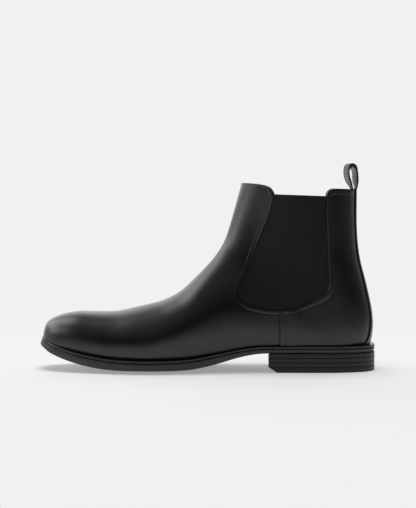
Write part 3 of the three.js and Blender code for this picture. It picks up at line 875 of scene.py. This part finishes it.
def stitch_shape():
    """One stitch along X: a slim grain that dives in at both ends."""
    points = []
    count, size = 7, 6
    for s in np.linspace(-1, 1, count):
        radius = STITCH_RADIUS * math.sqrt(max(0.05, 1 - 0.95 * s * s))
        sink = -0.28 * s ** 4
        for k in range(size):
            angle = k / size * 2 * math.pi
            aside, up = radius * math.cos(angle), radius * math.sin(angle) + sink
            points.append((s * STITCH / 2, aside, up))
    faces = tube_faces(count, size) + end_caps(count, size)
    return np.array(points), [face[::-1] for face in faces]


def stitch_row(name, place, normal, sink=0.02):
    """Stitches along a line of surface points, laid with the surface."""
    shape, shape_faces = stitch_shape()
    line = np.hstack([place, normal])
    steps = np.linalg.norm(np.diff(place, axis=0), axis=1)
    length = np.concatenate([[0], np.cumsum(steps)])
    count = int(length[-1] / STITCH_PITCH)
    middles = (np.arange(count) + 0.5) * length[-1] / count
    reach = STITCH / 2

    def at(distance):
        return np.stack([np.interp(distance, length, line[:, k]) for k in range(6)], 1)

    here, ahead, behind = at(middles), at(middles + reach), at(middles - reach)
    vertices, faces = [], []
    for k in range(count):
        along = ahead[k, :3] - behind[k, :3]
        along /= np.linalg.norm(along)
        up = here[k, 3:] - along * np.dot(here[k, 3:], along)
        up /= np.linalg.norm(up)
        aside = np.cross(up, along)
        start = len(vertices) * len(shape)
        vertices.append(here[k, :3] - up * sink + shape @ np.stack([along, aside, up]))
        faces += [tuple(index + start for index in face) for face in shape_faces]
    return mesh_object(name, np.vstack(vertices), faces, thread)


def row_in_chart(line, distance, toward, keep_clear):
    """A line moved by distance towards one side, where it stays clear of the edges."""
    loop_normals = inward_normals(toward)
    nearest = [int(np.argmin(np.linalg.norm(toward - p, axis=1))) for p in line]
    row = line + loop_normals[nearest] * distance
    clear = distance_to(row, keep_clear) > 0.94 * distance
    return resample(row[clear], 0.8)


def sewn(name, chart, row, lift):
    """Stitches along a row in the chart, lying on a panel's outer face."""
    u, angle = chart.to_form(row)
    base, normal = form_point(u, angle), form_normal(u, angle)
    return stitch_row(name, base + normal * lift(row, base)[:, None], normal)


# ---- upper

sewing = []


def build_vamp():
    edges = vamp_edges(SEAM_X + SEAM_LAP, front_chart)
    loop = vamp_loop(edges, front_chart)
    lift = vamp_lift(edges)
    piece = panel("vamp_leather", front_chart, loop, lift, LEATHER, upper_leather)
    finish_piece(piece, ["vamp"])
    for side, word in SIDES:
        edge = edges[side]
        line = np.vstack([edge["gore"], edge["collar"]])
        row = row_in_chart(line, EDGE_ROW, loop, line)
        sewing.append(sewn(f"vamp_edge_stitches_{word}", front_chart, row, lift))
    over = over_front(edges, front_chart)
    row = row_in_chart(resample(over, 1), EDGE_ROW, loop, over)
    sewing.append(sewn("collar_front_stitches", front_chart, row, lift))


def build_quarter(side, word):
    edges = quarter_edges(side, back_chart)
    loop = quarter_loop(edges)
    lift = quarter_lift(edges)
    thickness = quarter_thickness(edges)
    name = f"quarter_leather_{word}"
    piece = panel(name, back_chart, loop, lift, thickness, upper_leather)
    finish_piece(piece, [f"quarter_{word}"])
    turned = np.vstack([edges["gore"], edges["collar"]])
    row = row_in_chart(turned, EDGE_ROW, loop, turned)
    sewing.append(sewn(f"quarter_edge_stitches_{word}", back_chart, row, lift))
    seam = edges["seam"]
    row = row_in_chart(seam[1:-3], SEAM_ROW, loop, seam)
    sewing.append(sewn(f"side_seam_stitches_{word}", back_chart, row, lift))


BACKSTAY_WIDTHS = [  # height and half width
    (24.5, 21), (28, 19), (33, 17), (44, 15), (62, 13.4), (90, 11.4), (125, 9.4), (165, 8.2),
]
BACKSTAY_FOOT = 24.0
BACKSTAY_TOP = 164.3


def back_point(z, reach, side):
    """x of the form's back at height z where it is reach wide on one side."""
    low, high = 100.0, 149.2
    for _ in range(30):
        middle = (low + high) / 2
        wide = abs(side_y(middle, z, side)[0] - SHIFT_Y)
        low, high = (middle, high) if wide > reach else (low, middle)
    return low


def backstay_loop():
    """Its outline, and its edge on each side."""
    heights = [np.linspace(BACKSTAY_FOOT, 60, 26), np.linspace(63, BACKSTAY_TOP, 50)]
    heights = np.concatenate(heights)
    edges = {}
    for side in (OUTER, INNER):
        x = [back_point(z, float(curve_at(BACKSTAY_WIDTHS, z)), side) for z in heights]
        edges[side] = back_chart.from_side_view(np.array(x), heights, side)
    u = np.linspace(0.6, 0.8, 600)
    back = form_point(u, np.zeros(600))
    k = int(np.argmin(np.abs(back[:, 2] - BACKSTAY_FOOT + 0.1) + (back[:, 0] < 130) * 99))
    tip = back_chart.from_form(u[k:k + 1], np.zeros(1))
    wide = {side: back_point(BACKSTAY_FOOT, 20.8, side) for side in (OUTER, INNER)}
    low_inner = feather_points(wide[INNER], 146.4, INNER, back_chart, 0.1)
    low_outer = feather_points(146.4, wide[OUTER], OUTER, back_chart, 0.1)
    top = resample(np.vstack([edges[OUTER][-1:], edges[INNER][-1:]]), 1.3)[1:-1]
    loop = joined(edges[OUTER], top, edges[INNER][::-1], low_inner[1:], tip, low_outer[:-1])
    return loop, edges


def build_backstay():
    loop, edges = backstay_loop()

    def lift(flat, base):
        near = np.minimum(distance_to(flat, edges[OUTER]), distance_to(flat, edges[INNER]))
        proud = 1.25 + 0.3 * ramp(base[:, 2], 110, 150)
        return proud + raw_edge(near) - 0.18 * bell(near, BACKSTAY_ROW, 0.4)

    rings = (0.15, 0.4, 0.9, 1.5, 2.2, 2.9, 3.8)
    piece = panel("backstay_leather", back_chart, loop, lift, 1.15, upper_leather, rings, 2.0)
    finish_piece(piece, ["backstay"])
    for side, word in SIDES:
        line = edges[side][3:-1]
        row = resample(line - np.sign(line[:, [1]]) * np.array([0, BACKSTAY_ROW]), 0.8)
        sewing.append(sewn(f"backstay_stitches_{word}", back_chart, row, lift))


def lining_depth(x, z):
    """How deep the lining's outer face lies: against the leather, or behind the inner layers."""
    at_toe = 1 - ramp(x, -97, -82)
    gore_front = 20.5 + (z - 72) * 0.365
    at_gore = ramp(x - gore_front, -24, -9) * (1 - ramp(x, 118, 130)) * ramp(z, 24, 37)
    at_counter = ramp(x, 64, 76) * (1 - ramp(z, 92, 104))
    share = np.maximum(np.maximum(at_toe, at_gore), at_counter)
    return 1.75 + 1.55 * share


def build_linings():
    def lift(flat, base):
        return -lining_depth(base[:, 0], base[:, 2])

    def lining(name, chart, loop):
        rings, spacing = (0.8,), 3.2
        piece = panel(name + "_leather", chart, loop, lift, LINING, lining_leather, rings, spacing)
        finish_piece(piece, [name])

    front = vamp_edges(SEAM_X - 0.2, front_chart)
    lining("vamp_lining", front_chart, vamp_loop(front, front_chart))
    outer, inner = quarter_edges(OUTER, back_chart), quarter_edges(INNER, back_chart)
    loop = joined(
        outer["seam"], outer["gore"], outer["collar"], inner["collar"][::-1],
        inner["gore"][::-1], inner["seam"][::-1], inner["sole"][::-1], outer["sole"],
    )
    lining("quarter_lining", back_chart, loop)


GORE_TOP_LEFT = (58.6, 158.9)
GORE_TOP_RIGHT = (106.5, 157.4)
GORE_MARGIN = 5.5  # how far the elastic runs on under the leather
WEAVE_HEIGHT = 0.2


def gore_grid(side):
    """A fine grid in side view over the gore and its margins: x, z, depth, and its quads."""
    x, down = np.meshgrid(np.arange(20.5, 120.0, 0.54), np.arange(0, 110.0, 0.4375))
    fall = (GORE_TOP_LEFT[1] - GORE_TOP_RIGHT[1]) / (GORE_TOP_RIGHT[0] - GORE_TOP_LEFT[0])
    z = GORE_TOP_LEFT[1] - (x - GORE_TOP_LEFT[0]) * fall - down
    rear = spline(rear_line(GORE_REAR, side), 2)
    top = [(rear[-1, 0], 162), (GORE_TOP_LEFT[0], 162)]
    outline = np.vstack([spline(GORE_FRONT, 2), rear[1:], top])
    flat = np.stack([x.ravel(), z.ravel()], 1)
    keep = inside(flat, outline) | (distance_to(flat, outline[:-2]) < GORE_MARGIN)
    keep = keep.reshape(x.shape)
    cells = keep[:-1, :-1] & keep[1:, :-1] & keep[:-1, 1:] & keep[1:, 1:]
    used = np.zeros(keep.shape, bool)
    for rows, columns in ((0, 0), (1, 0), (0, 1), (1, 1)):
        used[rows:rows + cells.shape[0], columns:columns + cells.shape[1]] |= cells
    index = np.full(keep.shape, -1)
    index[used] = np.arange(used.sum())
    corners = [index[:-1, :-1], index[1:, :-1], index[1:, 1:], index[:-1, 1:]]
    quads = np.stack([corner[cells] for corner in corners], 1)
    if side == INNER:
        quads = quads[:, ::-1]
    return x[used], z[used], down[used], [tuple(quad) for quad in quads.tolist()]


def build_gore(side, word):
    """Elastic panel with its weave raised; its margins run under the leather."""
    x, z, down, quads = gore_grid(side)
    u, angle = place_in_side_view(x, z, side)
    base, normal = form_point(u, angle), form_normal(u, angle)
    across, up = 2 * math.pi * x / WEAVE_ACROSS, 2 * math.pi * z / WEAVE_UP
    diamonds = np.cos(across) * np.cos(up)
    woven = ramp(down, 1.2, 2.4)
    height = -0.95 + WEAVE_HEIGHT * diamonds * woven + 0.15 * (1 - woven)
    front = base + normal * height[:, None]
    back = base + normal * (-2.15 + 0.05 * diamonds)[:, None]
    piece = mesh_object(f"gore_elastic_{word}", *sheet(front, back, quads), elastic)
    finish_piece(piece, [f"gore_{word}"])


# ---- pull loop

LOOP_LINE = [
    (133.3, 154.0), (133.5, 158.5), (134.2, 162.0), (135.1, 165.0), (135.0, 168.4), (134.7, 173.6),
    (134.3, 179.0), (133.0, 183.4), (130.2, 185.6), (127.4, 183.2), (126.6, 179.0), (127.3, 174.2),
    (129.1, 169.6), (130.7, 166.0), (131.6, 162.5), (131.7, 156.0), (131.3, 150.0),
]
LOOP_WIDTH = 16.4
LOOP_ROW = 1.9  # distance of the stitch rows from the strap's edges
LOOP_SKEW = 0.195  # how far the loop is turned out of square, as x over y


def loop_frame():
    """The strap's middle line, and its normal, skew and fullness at each place."""
    line = spline(LOOP_LINE, 0.8)
    along = np.gradient(line, axis=0)
    along /= np.linalg.norm(along, axis=1, keepdims=True)
    out = np.stack([along[:, 1], -along[:, 0]], 1)
    skew = LOOP_SKEW * ramp(line[:, 1], 163.5, 172)
    fold = 1 + 1.3 * ramp(line[:, 1], 180.5, 185.3)  # it bunches up where it folds over
    return line, out, skew, fold


def build_pull_loop():
    """One strap: up from under the backstay, over, and down inside the collar."""
    line, out, skew, fold = loop_frame()
    shares = np.linspace(-1, 1, 25)
    fat = np.sqrt(np.clip(1 - (np.clip(np.abs(shares) - 0.93, 0, None) / 0.07) ** 2, 0, 1))
    y = shares * LOOP_WIDTH / 2
    groove = 0.14 * bell(np.abs(y), LOOP_WIDTH / 2 - LOOP_ROW, 0.5)
    thick = (STRAP / 2 - groove) * fat
    ring_y = np.concatenate([y, y[::-1]])
    ring_out = np.concatenate([thick, -thick[::-1]])
    rows = [
        np.stack([
            point[0] + normal[0] * ring_out * full - lean * ring_y,
            ring_y + SHIFT_Y,
            point[1] + normal[1] * ring_out * full,
        ], 1)
        for point, normal, lean, full in zip(line, out, skew, fold)
    ]
    size, count = len(ring_y), len(rows)
    vertices = np.vstack(rows)
    faces = outward(vertices, tube_faces(count, size) + end_caps(count, size))
    piece = mesh_object("pull_loop_strap", vertices, faces, strap_leather, sharp=60)
    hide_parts("pull_loop")
    bend_over_collar(piece)
    shown = line[:, 1] > 165.5
    for side, word in SIDES:
        sew_loop(side, word, line[shown], out[shown], skew[shown], fold[shown])


def sew_loop(side, word, line, out, skew, fold):
    y = side * (LOOP_WIDTH / 2 - LOOP_ROW)
    raised = (STRAP / 2 - 0.12) * fold
    middle = np.full(len(line), y + SHIFT_Y)
    x, z = line.T + out.T * raised
    normal = np.stack([out[:, 0], np.zeros(len(line)), out[:, 1]], 1)
    place = np.stack([x - skew * y, middle, z], 1)
    row = stitch_row(f"pull_loop_stitches_{word}", place, normal)
    bend_over_collar(row)


def bend_over_collar(piece):
    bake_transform(piece)


# ---- sole and heel

RIM_STEPS = 120
BACK_X = 146.9


def rim():
    """The form's outline on the feather line, toe to heel on the outer side and back."""
    share = (1 - np.cos(np.linspace(0, math.pi, RIM_STEPS + 1)[1:-1])) / 2
    x = TOE_X + (BACK_X - TOE_X) * share
    outer = np.stack([x, side_y(x, feather(x), OUTER)], 1)
    inner = np.stack([x, side_y(x, feather(x), INNER)], 1)
    toe, heel = (TOE_X, TOE_SHIFT + SHIFT_Y), (BACK_X, SHIFT_Y)
    ring = np.vstack([[toe], outer, [heel], inner[::-1]])
    return ring, -inward_normals(ring)


RIM, RIM_OUT = rim()


def rim_at(reach):
    """The rim moved outwards; reach is a number or one value for each point."""
    return RIM + RIM_OUT * np.broadcast_to(reach, len(RIM))[:, None]


def toe_lean(x):
    """How far the top of the sole's edge leans back at the toe."""
    return 3.4 * ramp(-x, 116, 150)


# Cross sections of the welt as (distance outwards, height above the feather line): its upper
# side from the rim, and its lip from the outer edge.
WELT_TOP = [(-9, -0.25), (-4, -0.15), (-1, -0.05), (0.25, 0.0), (0.5, -0.12), (0.75, -0.12)]
WELT_LIP = [
    (-1.15, 0.0), (-0.75, 0.06), (-0.4, 0.02), (-0.14, -0.22), (0.0, -0.62), (0.0, -1.0),
    (-0.1, -1.45), (-0.35, -1.85), (-0.75, -2.1), (-1.4, -WELT),
]
WELT_ROW = 1.55


def build_welt():
    """A flat strip with a rounded lip and a shallow channel, and its stitches."""
    reach = welt_reach(RIM[:, 0])
    lean = toe_lean(RIM[:, 0])
    rows = [(np.full(len(RIM), r), h) for r, h in WELT_TOP]
    rows += [(np.maximum(reach + r - lean * (1 + 0.16 * h), r + 0.9), h) for r, h in WELT_LIP]
    rows += [(np.full(len(RIM), -9.0), -WELT)]
    vertices = []
    for out, height in rows:
        plan = rim_at(out)
        vertices.append(np.column_stack([plan, feather(plan[:, 0]) + height]))
    vertices = np.vstack(vertices)
    faces = outward(vertices, tube_faces(len(rows), len(RIM), closed=True))
    piece = mesh_object("welt_strip", vertices, faces, welt_edge, sharp=45)
    finish_piece(piece, ["welt"])
    line = rim_at(reach - WELT_ROW)
    keep = (line[:, 0] < 60) & (line[:, 0] > -128)
    for side, word in SIDES:
        part = line[keep & (np.sign(line[:, 1] - TOE_SHIFT) == side)]
        part = part[np.argsort(part[:, 0])]
        place = resample(np.column_stack([part, feather(part[:, 0]) + 0.02]), 0.8)
        up = np.tile([0.0, 0.0, 1.0], (len(place), 1))
        row = stitch_row(f"welt_stitches_{word}", place, up, sink=0.1)
        finish_piece(row, [])


def capped(loops, heights_at, cap_top, cap_bottom, steps=14):
    """A plate from side loops (top to bottom) and two caps that follow height functions."""
    size = len(loops[0])
    half = size // 2
    vertices = [np.column_stack([loop, height]) for loop, height in zip(loops, heights_at)]
    faces = tube_faces(len(loops), size)
    total = len(loops) * size
    for loop_index, surface, flip in ((0, cap_top, False), (len(loops) - 1, cap_bottom, True)):
        loop = loops[loop_index]
        base = loop_index * size
        grid = np.full((half + 1, steps + 1), -1)
        grid[0, :] = base
        grid[half, :] = base + half
        inner_points = []
        for k in range(1, half):
            start, end = loop[k], loop[size - k]
            grid[k, 0], grid[k, steps] = base + k, base + size - k
            for j in range(1, steps):
                inner_points.append(start + (end - start) * j / steps)
                grid[k, j] = total
                total += 1
        inner_points = np.array(inner_points)
        edge = surface(loop[:, 0], loop[:, 1]) - vertices[loop_index][:, 2]
        height = surface(inner_points[:, 0], inner_points[:, 1]) - float(np.mean(edge))
        vertices.append(np.column_stack([inner_points, height]))
        for k in range(half):
            for j in range(steps):
                quad = [grid[k, j], grid[k + 1, j], grid[k + 1, j + 1], grid[k, j + 1]]
                quad = [v for n, v in enumerate(quad) if v not in quad[:n]]
                if len(quad) > 2:
                    faces.append(tuple(quad if flip else quad[::-1]))
    vertices = np.vstack(vertices)
    return vertices, outward(vertices, faces)


# Side of the outsole: pull-in from the welt's edge, and how far down the side it lies.
SOLE_SIDE = [
    (1.1, 0.0), (0.7, 0.02), (0.42, 0.07), (0.3, 0.16), (0.32, 0.3), (0.55, 0.55), (0.85, 0.75),
    (1.15, 0.88), (1.55, 0.96), (2.2, 0.995), (3.2, 1.0),
]
SOLE_DROP = WELT + 0.2  # depth of the outsole's top below the feather line


def build_outsole():
    reach = welt_reach(RIM[:, 0])
    thick = feather(RIM[:, 0]) - SOLE_DROP - tread(RIM[:, 0], RIM[:, 1])
    lean = toe_lean(RIM[:, 0])
    loops, heights = [], []
    for pull, down in SOLE_SIDE:
        plan = rim_at(reach - pull - 0.62 * lean * (1 - down))
        loops.append(plan)
        heights.append(feather(plan[:, 0]) - SOLE_DROP - thick * down)

    def top(x, y):
        return feather(x) - SOLE_DROP

    vertices, faces = capped(loops, heights, top, tread)
    piece = mesh_object("outsole_plate", vertices, faces, sole_rubber, sharp=40)
    finish_piece(piece, ["outsole"])


BREAST_X = 54.1
BREAST_SLANT = 3.4  # the breast lies further back on the inner side
LIFT_LEVELS = [5.4, 9.45, 13.55, 17.15]
LIFT_GAP = 0.08
TOP_PIECE = 5.3  # thickness
TOP_PIECE_START = 62.6  # where its bevelled front meets the floor
# Side of a heel layer: pull-in, and how far down the side it lies.
LAYER_SIDE = [
    (0.55, 0.0), (0.34, 0.05), (0.24, 0.16), (0.2, 0.4), (0.2, 0.6), (0.24, 0.84), (0.34, 0.95),
    (0.55, 1.0),
]


def heel_outline(inset):
    """Heel seat in plan: round at the back, with a slightly hollow breast."""
    plan = rim_at(welt_reach(RIM[:, 0]) - inset)
    behind = plan[:, 0] > BREAST_X + 2
    middle = SHIFT_Y + 1e-6
    outer = plan[(RIM[:, 1] < middle) & behind & (plan[:, 1] <= middle)]
    inner = plan[(RIM[:, 1] > middle) & behind]
    half = max(abs(outer[0, 1]), abs(inner[-1, 1]))
    y = np.linspace(inner[-1, 1] - 0.6, outer[0, 1] + 0.6, 17)
    hollow = 1.6 * (1 - (y / half) ** 2)
    slant = BREAST_SLANT * (y + half) / (2 * half)
    breast = np.column_stack([BREAST_X + inset + hollow + slant, y])
    return np.vstack([outer, inner[inner[:, 0] > breast[0, 0] + 0.5], breast])


def heel_layer(name, bottom, top, material):
    """One layer of the heel with softly rounded edges."""
    loops = [heel_outline(pull) for pull, _ in LAYER_SIDE]
    count, size = len(loops), len(loops[0])
    vertices = np.vstack([
        np.column_stack([loop, np.full(size, top - (top - bottom) * down)])
        for loop, (_, down) in zip(loops, LAYER_SIDE)
    ])
    faces = outward(vertices, tube_faces(count, size) + end_caps(count, size))
    return mesh_object(name, vertices, faces, material, sharp=40)


def cut_breast_bevel(piece):
    """Slants the front of the top piece, as on the real heel."""
    bm = bmesh.new()
    bm.from_mesh(piece.data)
    start = Vector((BREAST_X + 0.1, 0, TOP_PIECE)) * MM
    end = Vector((TOP_PIECE_START, 0, 0)) * MM
    normal = Vector((end.z - start.z, 0, start.x - end.x)).normalized()
    geometry = bm.verts[:] + bm.edges[:] + bm.faces[:]
    bmesh.ops.bisect_plane(bm, geom=geometry, plane_co=start, plane_no=normal, clear_outer=True)
    border = [e for e in bm.edges if e.is_boundary]
    bmesh.ops.contextual_create(bm, geom=border)
    bmesh.ops.recalc_face_normals(bm, faces=bm.faces[:])
    bm.to_mesh(piece.data)
    bm.free()
    piece.data.set_sharp_from_angle(angle=math.radians(40))


def build_heel():
    top_piece = heel_layer("top_piece_plate", 0.0, TOP_PIECE, top_piece_rubber)
    cut_breast_bevel(top_piece)
    finish_piece(top_piece, ["heel_top_piece"])
    for number, (bottom, top) in enumerate(zip(LIFT_LEVELS, LIFT_LEVELS[1:]), 1):
        layer = heel_layer(f"heel_lift_layer_{number}", bottom, top - LIFT_GAP, heel_edge)
        finish_piece(layer, [f"heel_lift_{number}"])


SOCK_LIFT = 4.9  # height of the sock above the feather line
PAD_RISE = 3.3  # how much more over the heel pad
SOCK_EDGE = [(-4.3, 1.2), (-4.05, 1.0), (-4.0, 0.6), (-4.05, 0.2), (-4.3, 0.0)]


def build_sock():
    """Thin leather sock on the insole, dished a little towards its edge."""

    def surface(extra):
        def height(x, y):
            cup = 0.9 * np.clip(np.abs(y) / 38, 0, 1) ** 4
            return feather(x) + SOCK_LIFT + PAD_RISE * ramp(x, 38, 66) + extra + cup
        return height

    loops = [rim_at(out) for out, _ in SOCK_EDGE]
    heights = [surface(up)(*loop.T) for loop, (_, up) in zip(loops, SOCK_EDGE)]
    vertices, faces = capped(loops, heights, surface(SOCK_EDGE[0][1]), surface(0.0))
    piece = mesh_object("sock_leather", vertices, faces, lining_leather, sharp=50)
    finish_piece(piece, ["sock_liner"])


# ---- hidden pieces

HIDDEN_FINISHES = {
    "toe_puff": board, "heel_counter": board, "insole": board, "bottom_filler": cork,
    "shank": steel, "heel_pad": foam,
}


def finish_hidden():
    finishes = {**HIDDEN_FINISHES, **{f"heel_nail_{number}": steel for number in range(1, 6)}}
    for name, material in finishes.items():
        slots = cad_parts[name].data.materials
        slots.clear()
        slots.append(material)


# ---- studio


FRONT_LIGHT = 0.026
SIDE_LIGHT = 0.65
BACK_LIGHT = 0.75
CEILING_LIGHT = 0.2
TABLE_LIGHT = 0.8
BACKDROP = 0.88
FLOOR_TONE = 0.9
FLOOR_GLOW = 0.3


def floor_material():
    """Pale card that melts into the backdrop away from the boot."""
    n = Nodes("studio_floor")
    tone = n.mix(n.noise(1.5, 2), grey(FLOOR_TONE), grey(FLOOR_TONE * 0.99))
    n.finish(tone, 0.9, Specular_IOR_Level=0.0, Emission_Strength=FLOOR_GLOW)
    n.feed(n.shader.inputs["Emission Color"], (0.97, 0.99, 1, 1))
    away = n.add("ShaderNodeVectorMath", Vector=n.place)
    away.operation = "LENGTH"
    fade = n.spread(away.outputs["Value"], 0.34, 0.62)
    clear = n.add("ShaderNodeBsdfTransparent").outputs[0]
    output = n.tree.nodes["Material Output"]
    n.feed(output.inputs["Surface"], n.blend(fade, n.shader.outputs[0], clear))
    return n.material


def build_floor():
    half = 0.8
    corners = [(-half, -half, 0), (half, -half, 0), (half, half, 0), (-half, half, 0)]
    mesh = bpy.data.meshes.new("floor")
    mesh.from_pydata(corners, [], [(0, 1, 2, 3)])
    mesh.materials.append(floor_material())
    floor = bpy.data.objects.new("floor", mesh)
    bpy.context.scene.collection.objects.link(floor)
    return floor


def build_surroundings():
    """Pale walls behind and beside the boot, a dim ceiling and darkness round the camera."""
    world = bpy.data.worlds.new("studio")
    bpy.context.scene.world = world
    world.use_nodes = True
    world.node_tree.nodes.clear()
    sky = Tree(world.node_tree)
    direction = sky.add("ShaderNodeTexCoord").outputs["Generated"]
    parts = sky.add("ShaderNodeSeparateXYZ", Vector=direction).outputs

    def fade(axis, low, high, at_low, at_high):
        return sky.spread(parts[axis], low, high, at_low, at_high, "SMOOTHSTEP")

    def product(first, second):
        return sky.math("MULTIPLY", first, second)

    sides = product(fade("Y", -0.55, 0.1, 0.0, SIDE_LIGHT), fade("X", 0.0, 0.6, 1.0, 0.15))
    behind = product(fade("Y", 0.35, 0.85, 0.0, BACK_LIGHT), fade("X", 0.1, 0.7, 1.0, 0.45))
    behind = product(behind, fade("X", -0.7, -0.2, 0.55, 1.0))
    walls = product(sky.math("ADD", sides, behind), fade("Z", 0.45, 0.8, 1.0, 0.0))
    ceiling = fade("Z", 0.45, 0.85, FRONT_LIGHT, CEILING_LIGHT)
    table = product(fade("Z", -0.2, 0.0, TABLE_LIGHT, 0.0), fade("X", 0.0, 0.6, 1.0, 0.25))
    total = sky.math("ADD", sky.math("ADD", walls, ceiling), table)
    lit = sky.add("ShaderNodeBackground", Color=(0.94, 0.985, 1.0, 1), Strength=total)
    seen = sky.add("ShaderNodeBackground", Color=grey(BACKDROP))
    by_camera = sky.add("ShaderNodeLightPath").outputs["Is Camera Ray"]
    shown = sky.blend(by_camera, lit.outputs[0], seen.outputs[0])
    sky.add("ShaderNodeOutputWorld", Surface=shown)


def soft_light(name, place, target, size, power, color):
    light = bpy.data.lights.new(name, "AREA")
    light.shape = "RECTANGLE"
    light.size, light.size_y = size
    light.energy = power
    light.color = color
    lamp = bpy.data.objects.new(name, light)
    lamp.location = place
    lamp.rotation_euler = (Vector(target) - Vector(place)).to_track_quat("-Z", "Y").to_euler()
    bpy.context.scene.collection.objects.link(lamp)
    return lamp


def build_lights(floor):
    """Softboxes shape the boot; the floor has one of its own, so that it stays even."""
    warm = (1, 1, 0.93)
    above, left = (0, 0, 0.05), (-0.02, 0, 0.1)
    softboxes = [
        soft_light("overhead_softbox", (0.15, 0.1, 1.3), above, (1.2, 0.9), 1.4, (1, 1, 1)),
        soft_light("rear_left_softbox", (-0.85, 0.42, 0.8), left, (0.8, 0.8), 4.7, warm),
        soft_light("left_softbox", (-1.15, -0.08, 0.5), left, (0.5, 0.45), 1.9, warm),
    ]
    all_but_floor = bpy.data.collections.new("all_but_floor")
    all_but_floor.objects.link(floor)
    all_but_floor.collection_objects[0].light_linking.link_state = "EXCLUDE"
    for lamp in softboxes:
        lamp.light_linking.receiver_collection = all_but_floor
    only_floor = bpy.data.collections.new("only_floor")
    only_floor.objects.link(floor)
    fill = soft_light("floor_fill", (0, 0.04, 2.4), (0, 0.03, 0), (1.3, 1.3), 25.5, (1, 1, 1))
    fill.light_linking.receiver_collection = only_floor


CAMERA_PLACE = (0.0007, -1.34, 0.163)
CAMERA_TILT = math.radians(2.49)
CAMERA_LENS = 104.36


def build_camera():
    data = bpy.data.cameras.new("camera")
    data.lens = CAMERA_LENS
    data.sensor_width = 36
    data.clip_start = 0.05
    camera = bpy.data.objects.new("camera", data)
    camera.location = CAMERA_PLACE
    camera.rotation_euler = (math.pi / 2 - CAMERA_TILT, 0, 0)
    bpy.context.scene.collection.objects.link(camera)
    bpy.context.scene.camera = camera


# ---- the scene

bpy.context.scene.view_settings.view_transform = "Standard"
build_camera()
build_surroundings()
build_lights(build_floor())

build_vamp()
build_quarter(OUTER, "lateral")
build_quarter(INNER, "medial")
build_backstay()
build_linings()
build_gore(OUTER, "lateral")
build_gore(INNER, "medial")
for stitches in sewing:
    finish_piece(stitches, [])
build_pull_loop()
build_welt()
build_outsole()
build_heel()
build_sock()
finish_hidden()
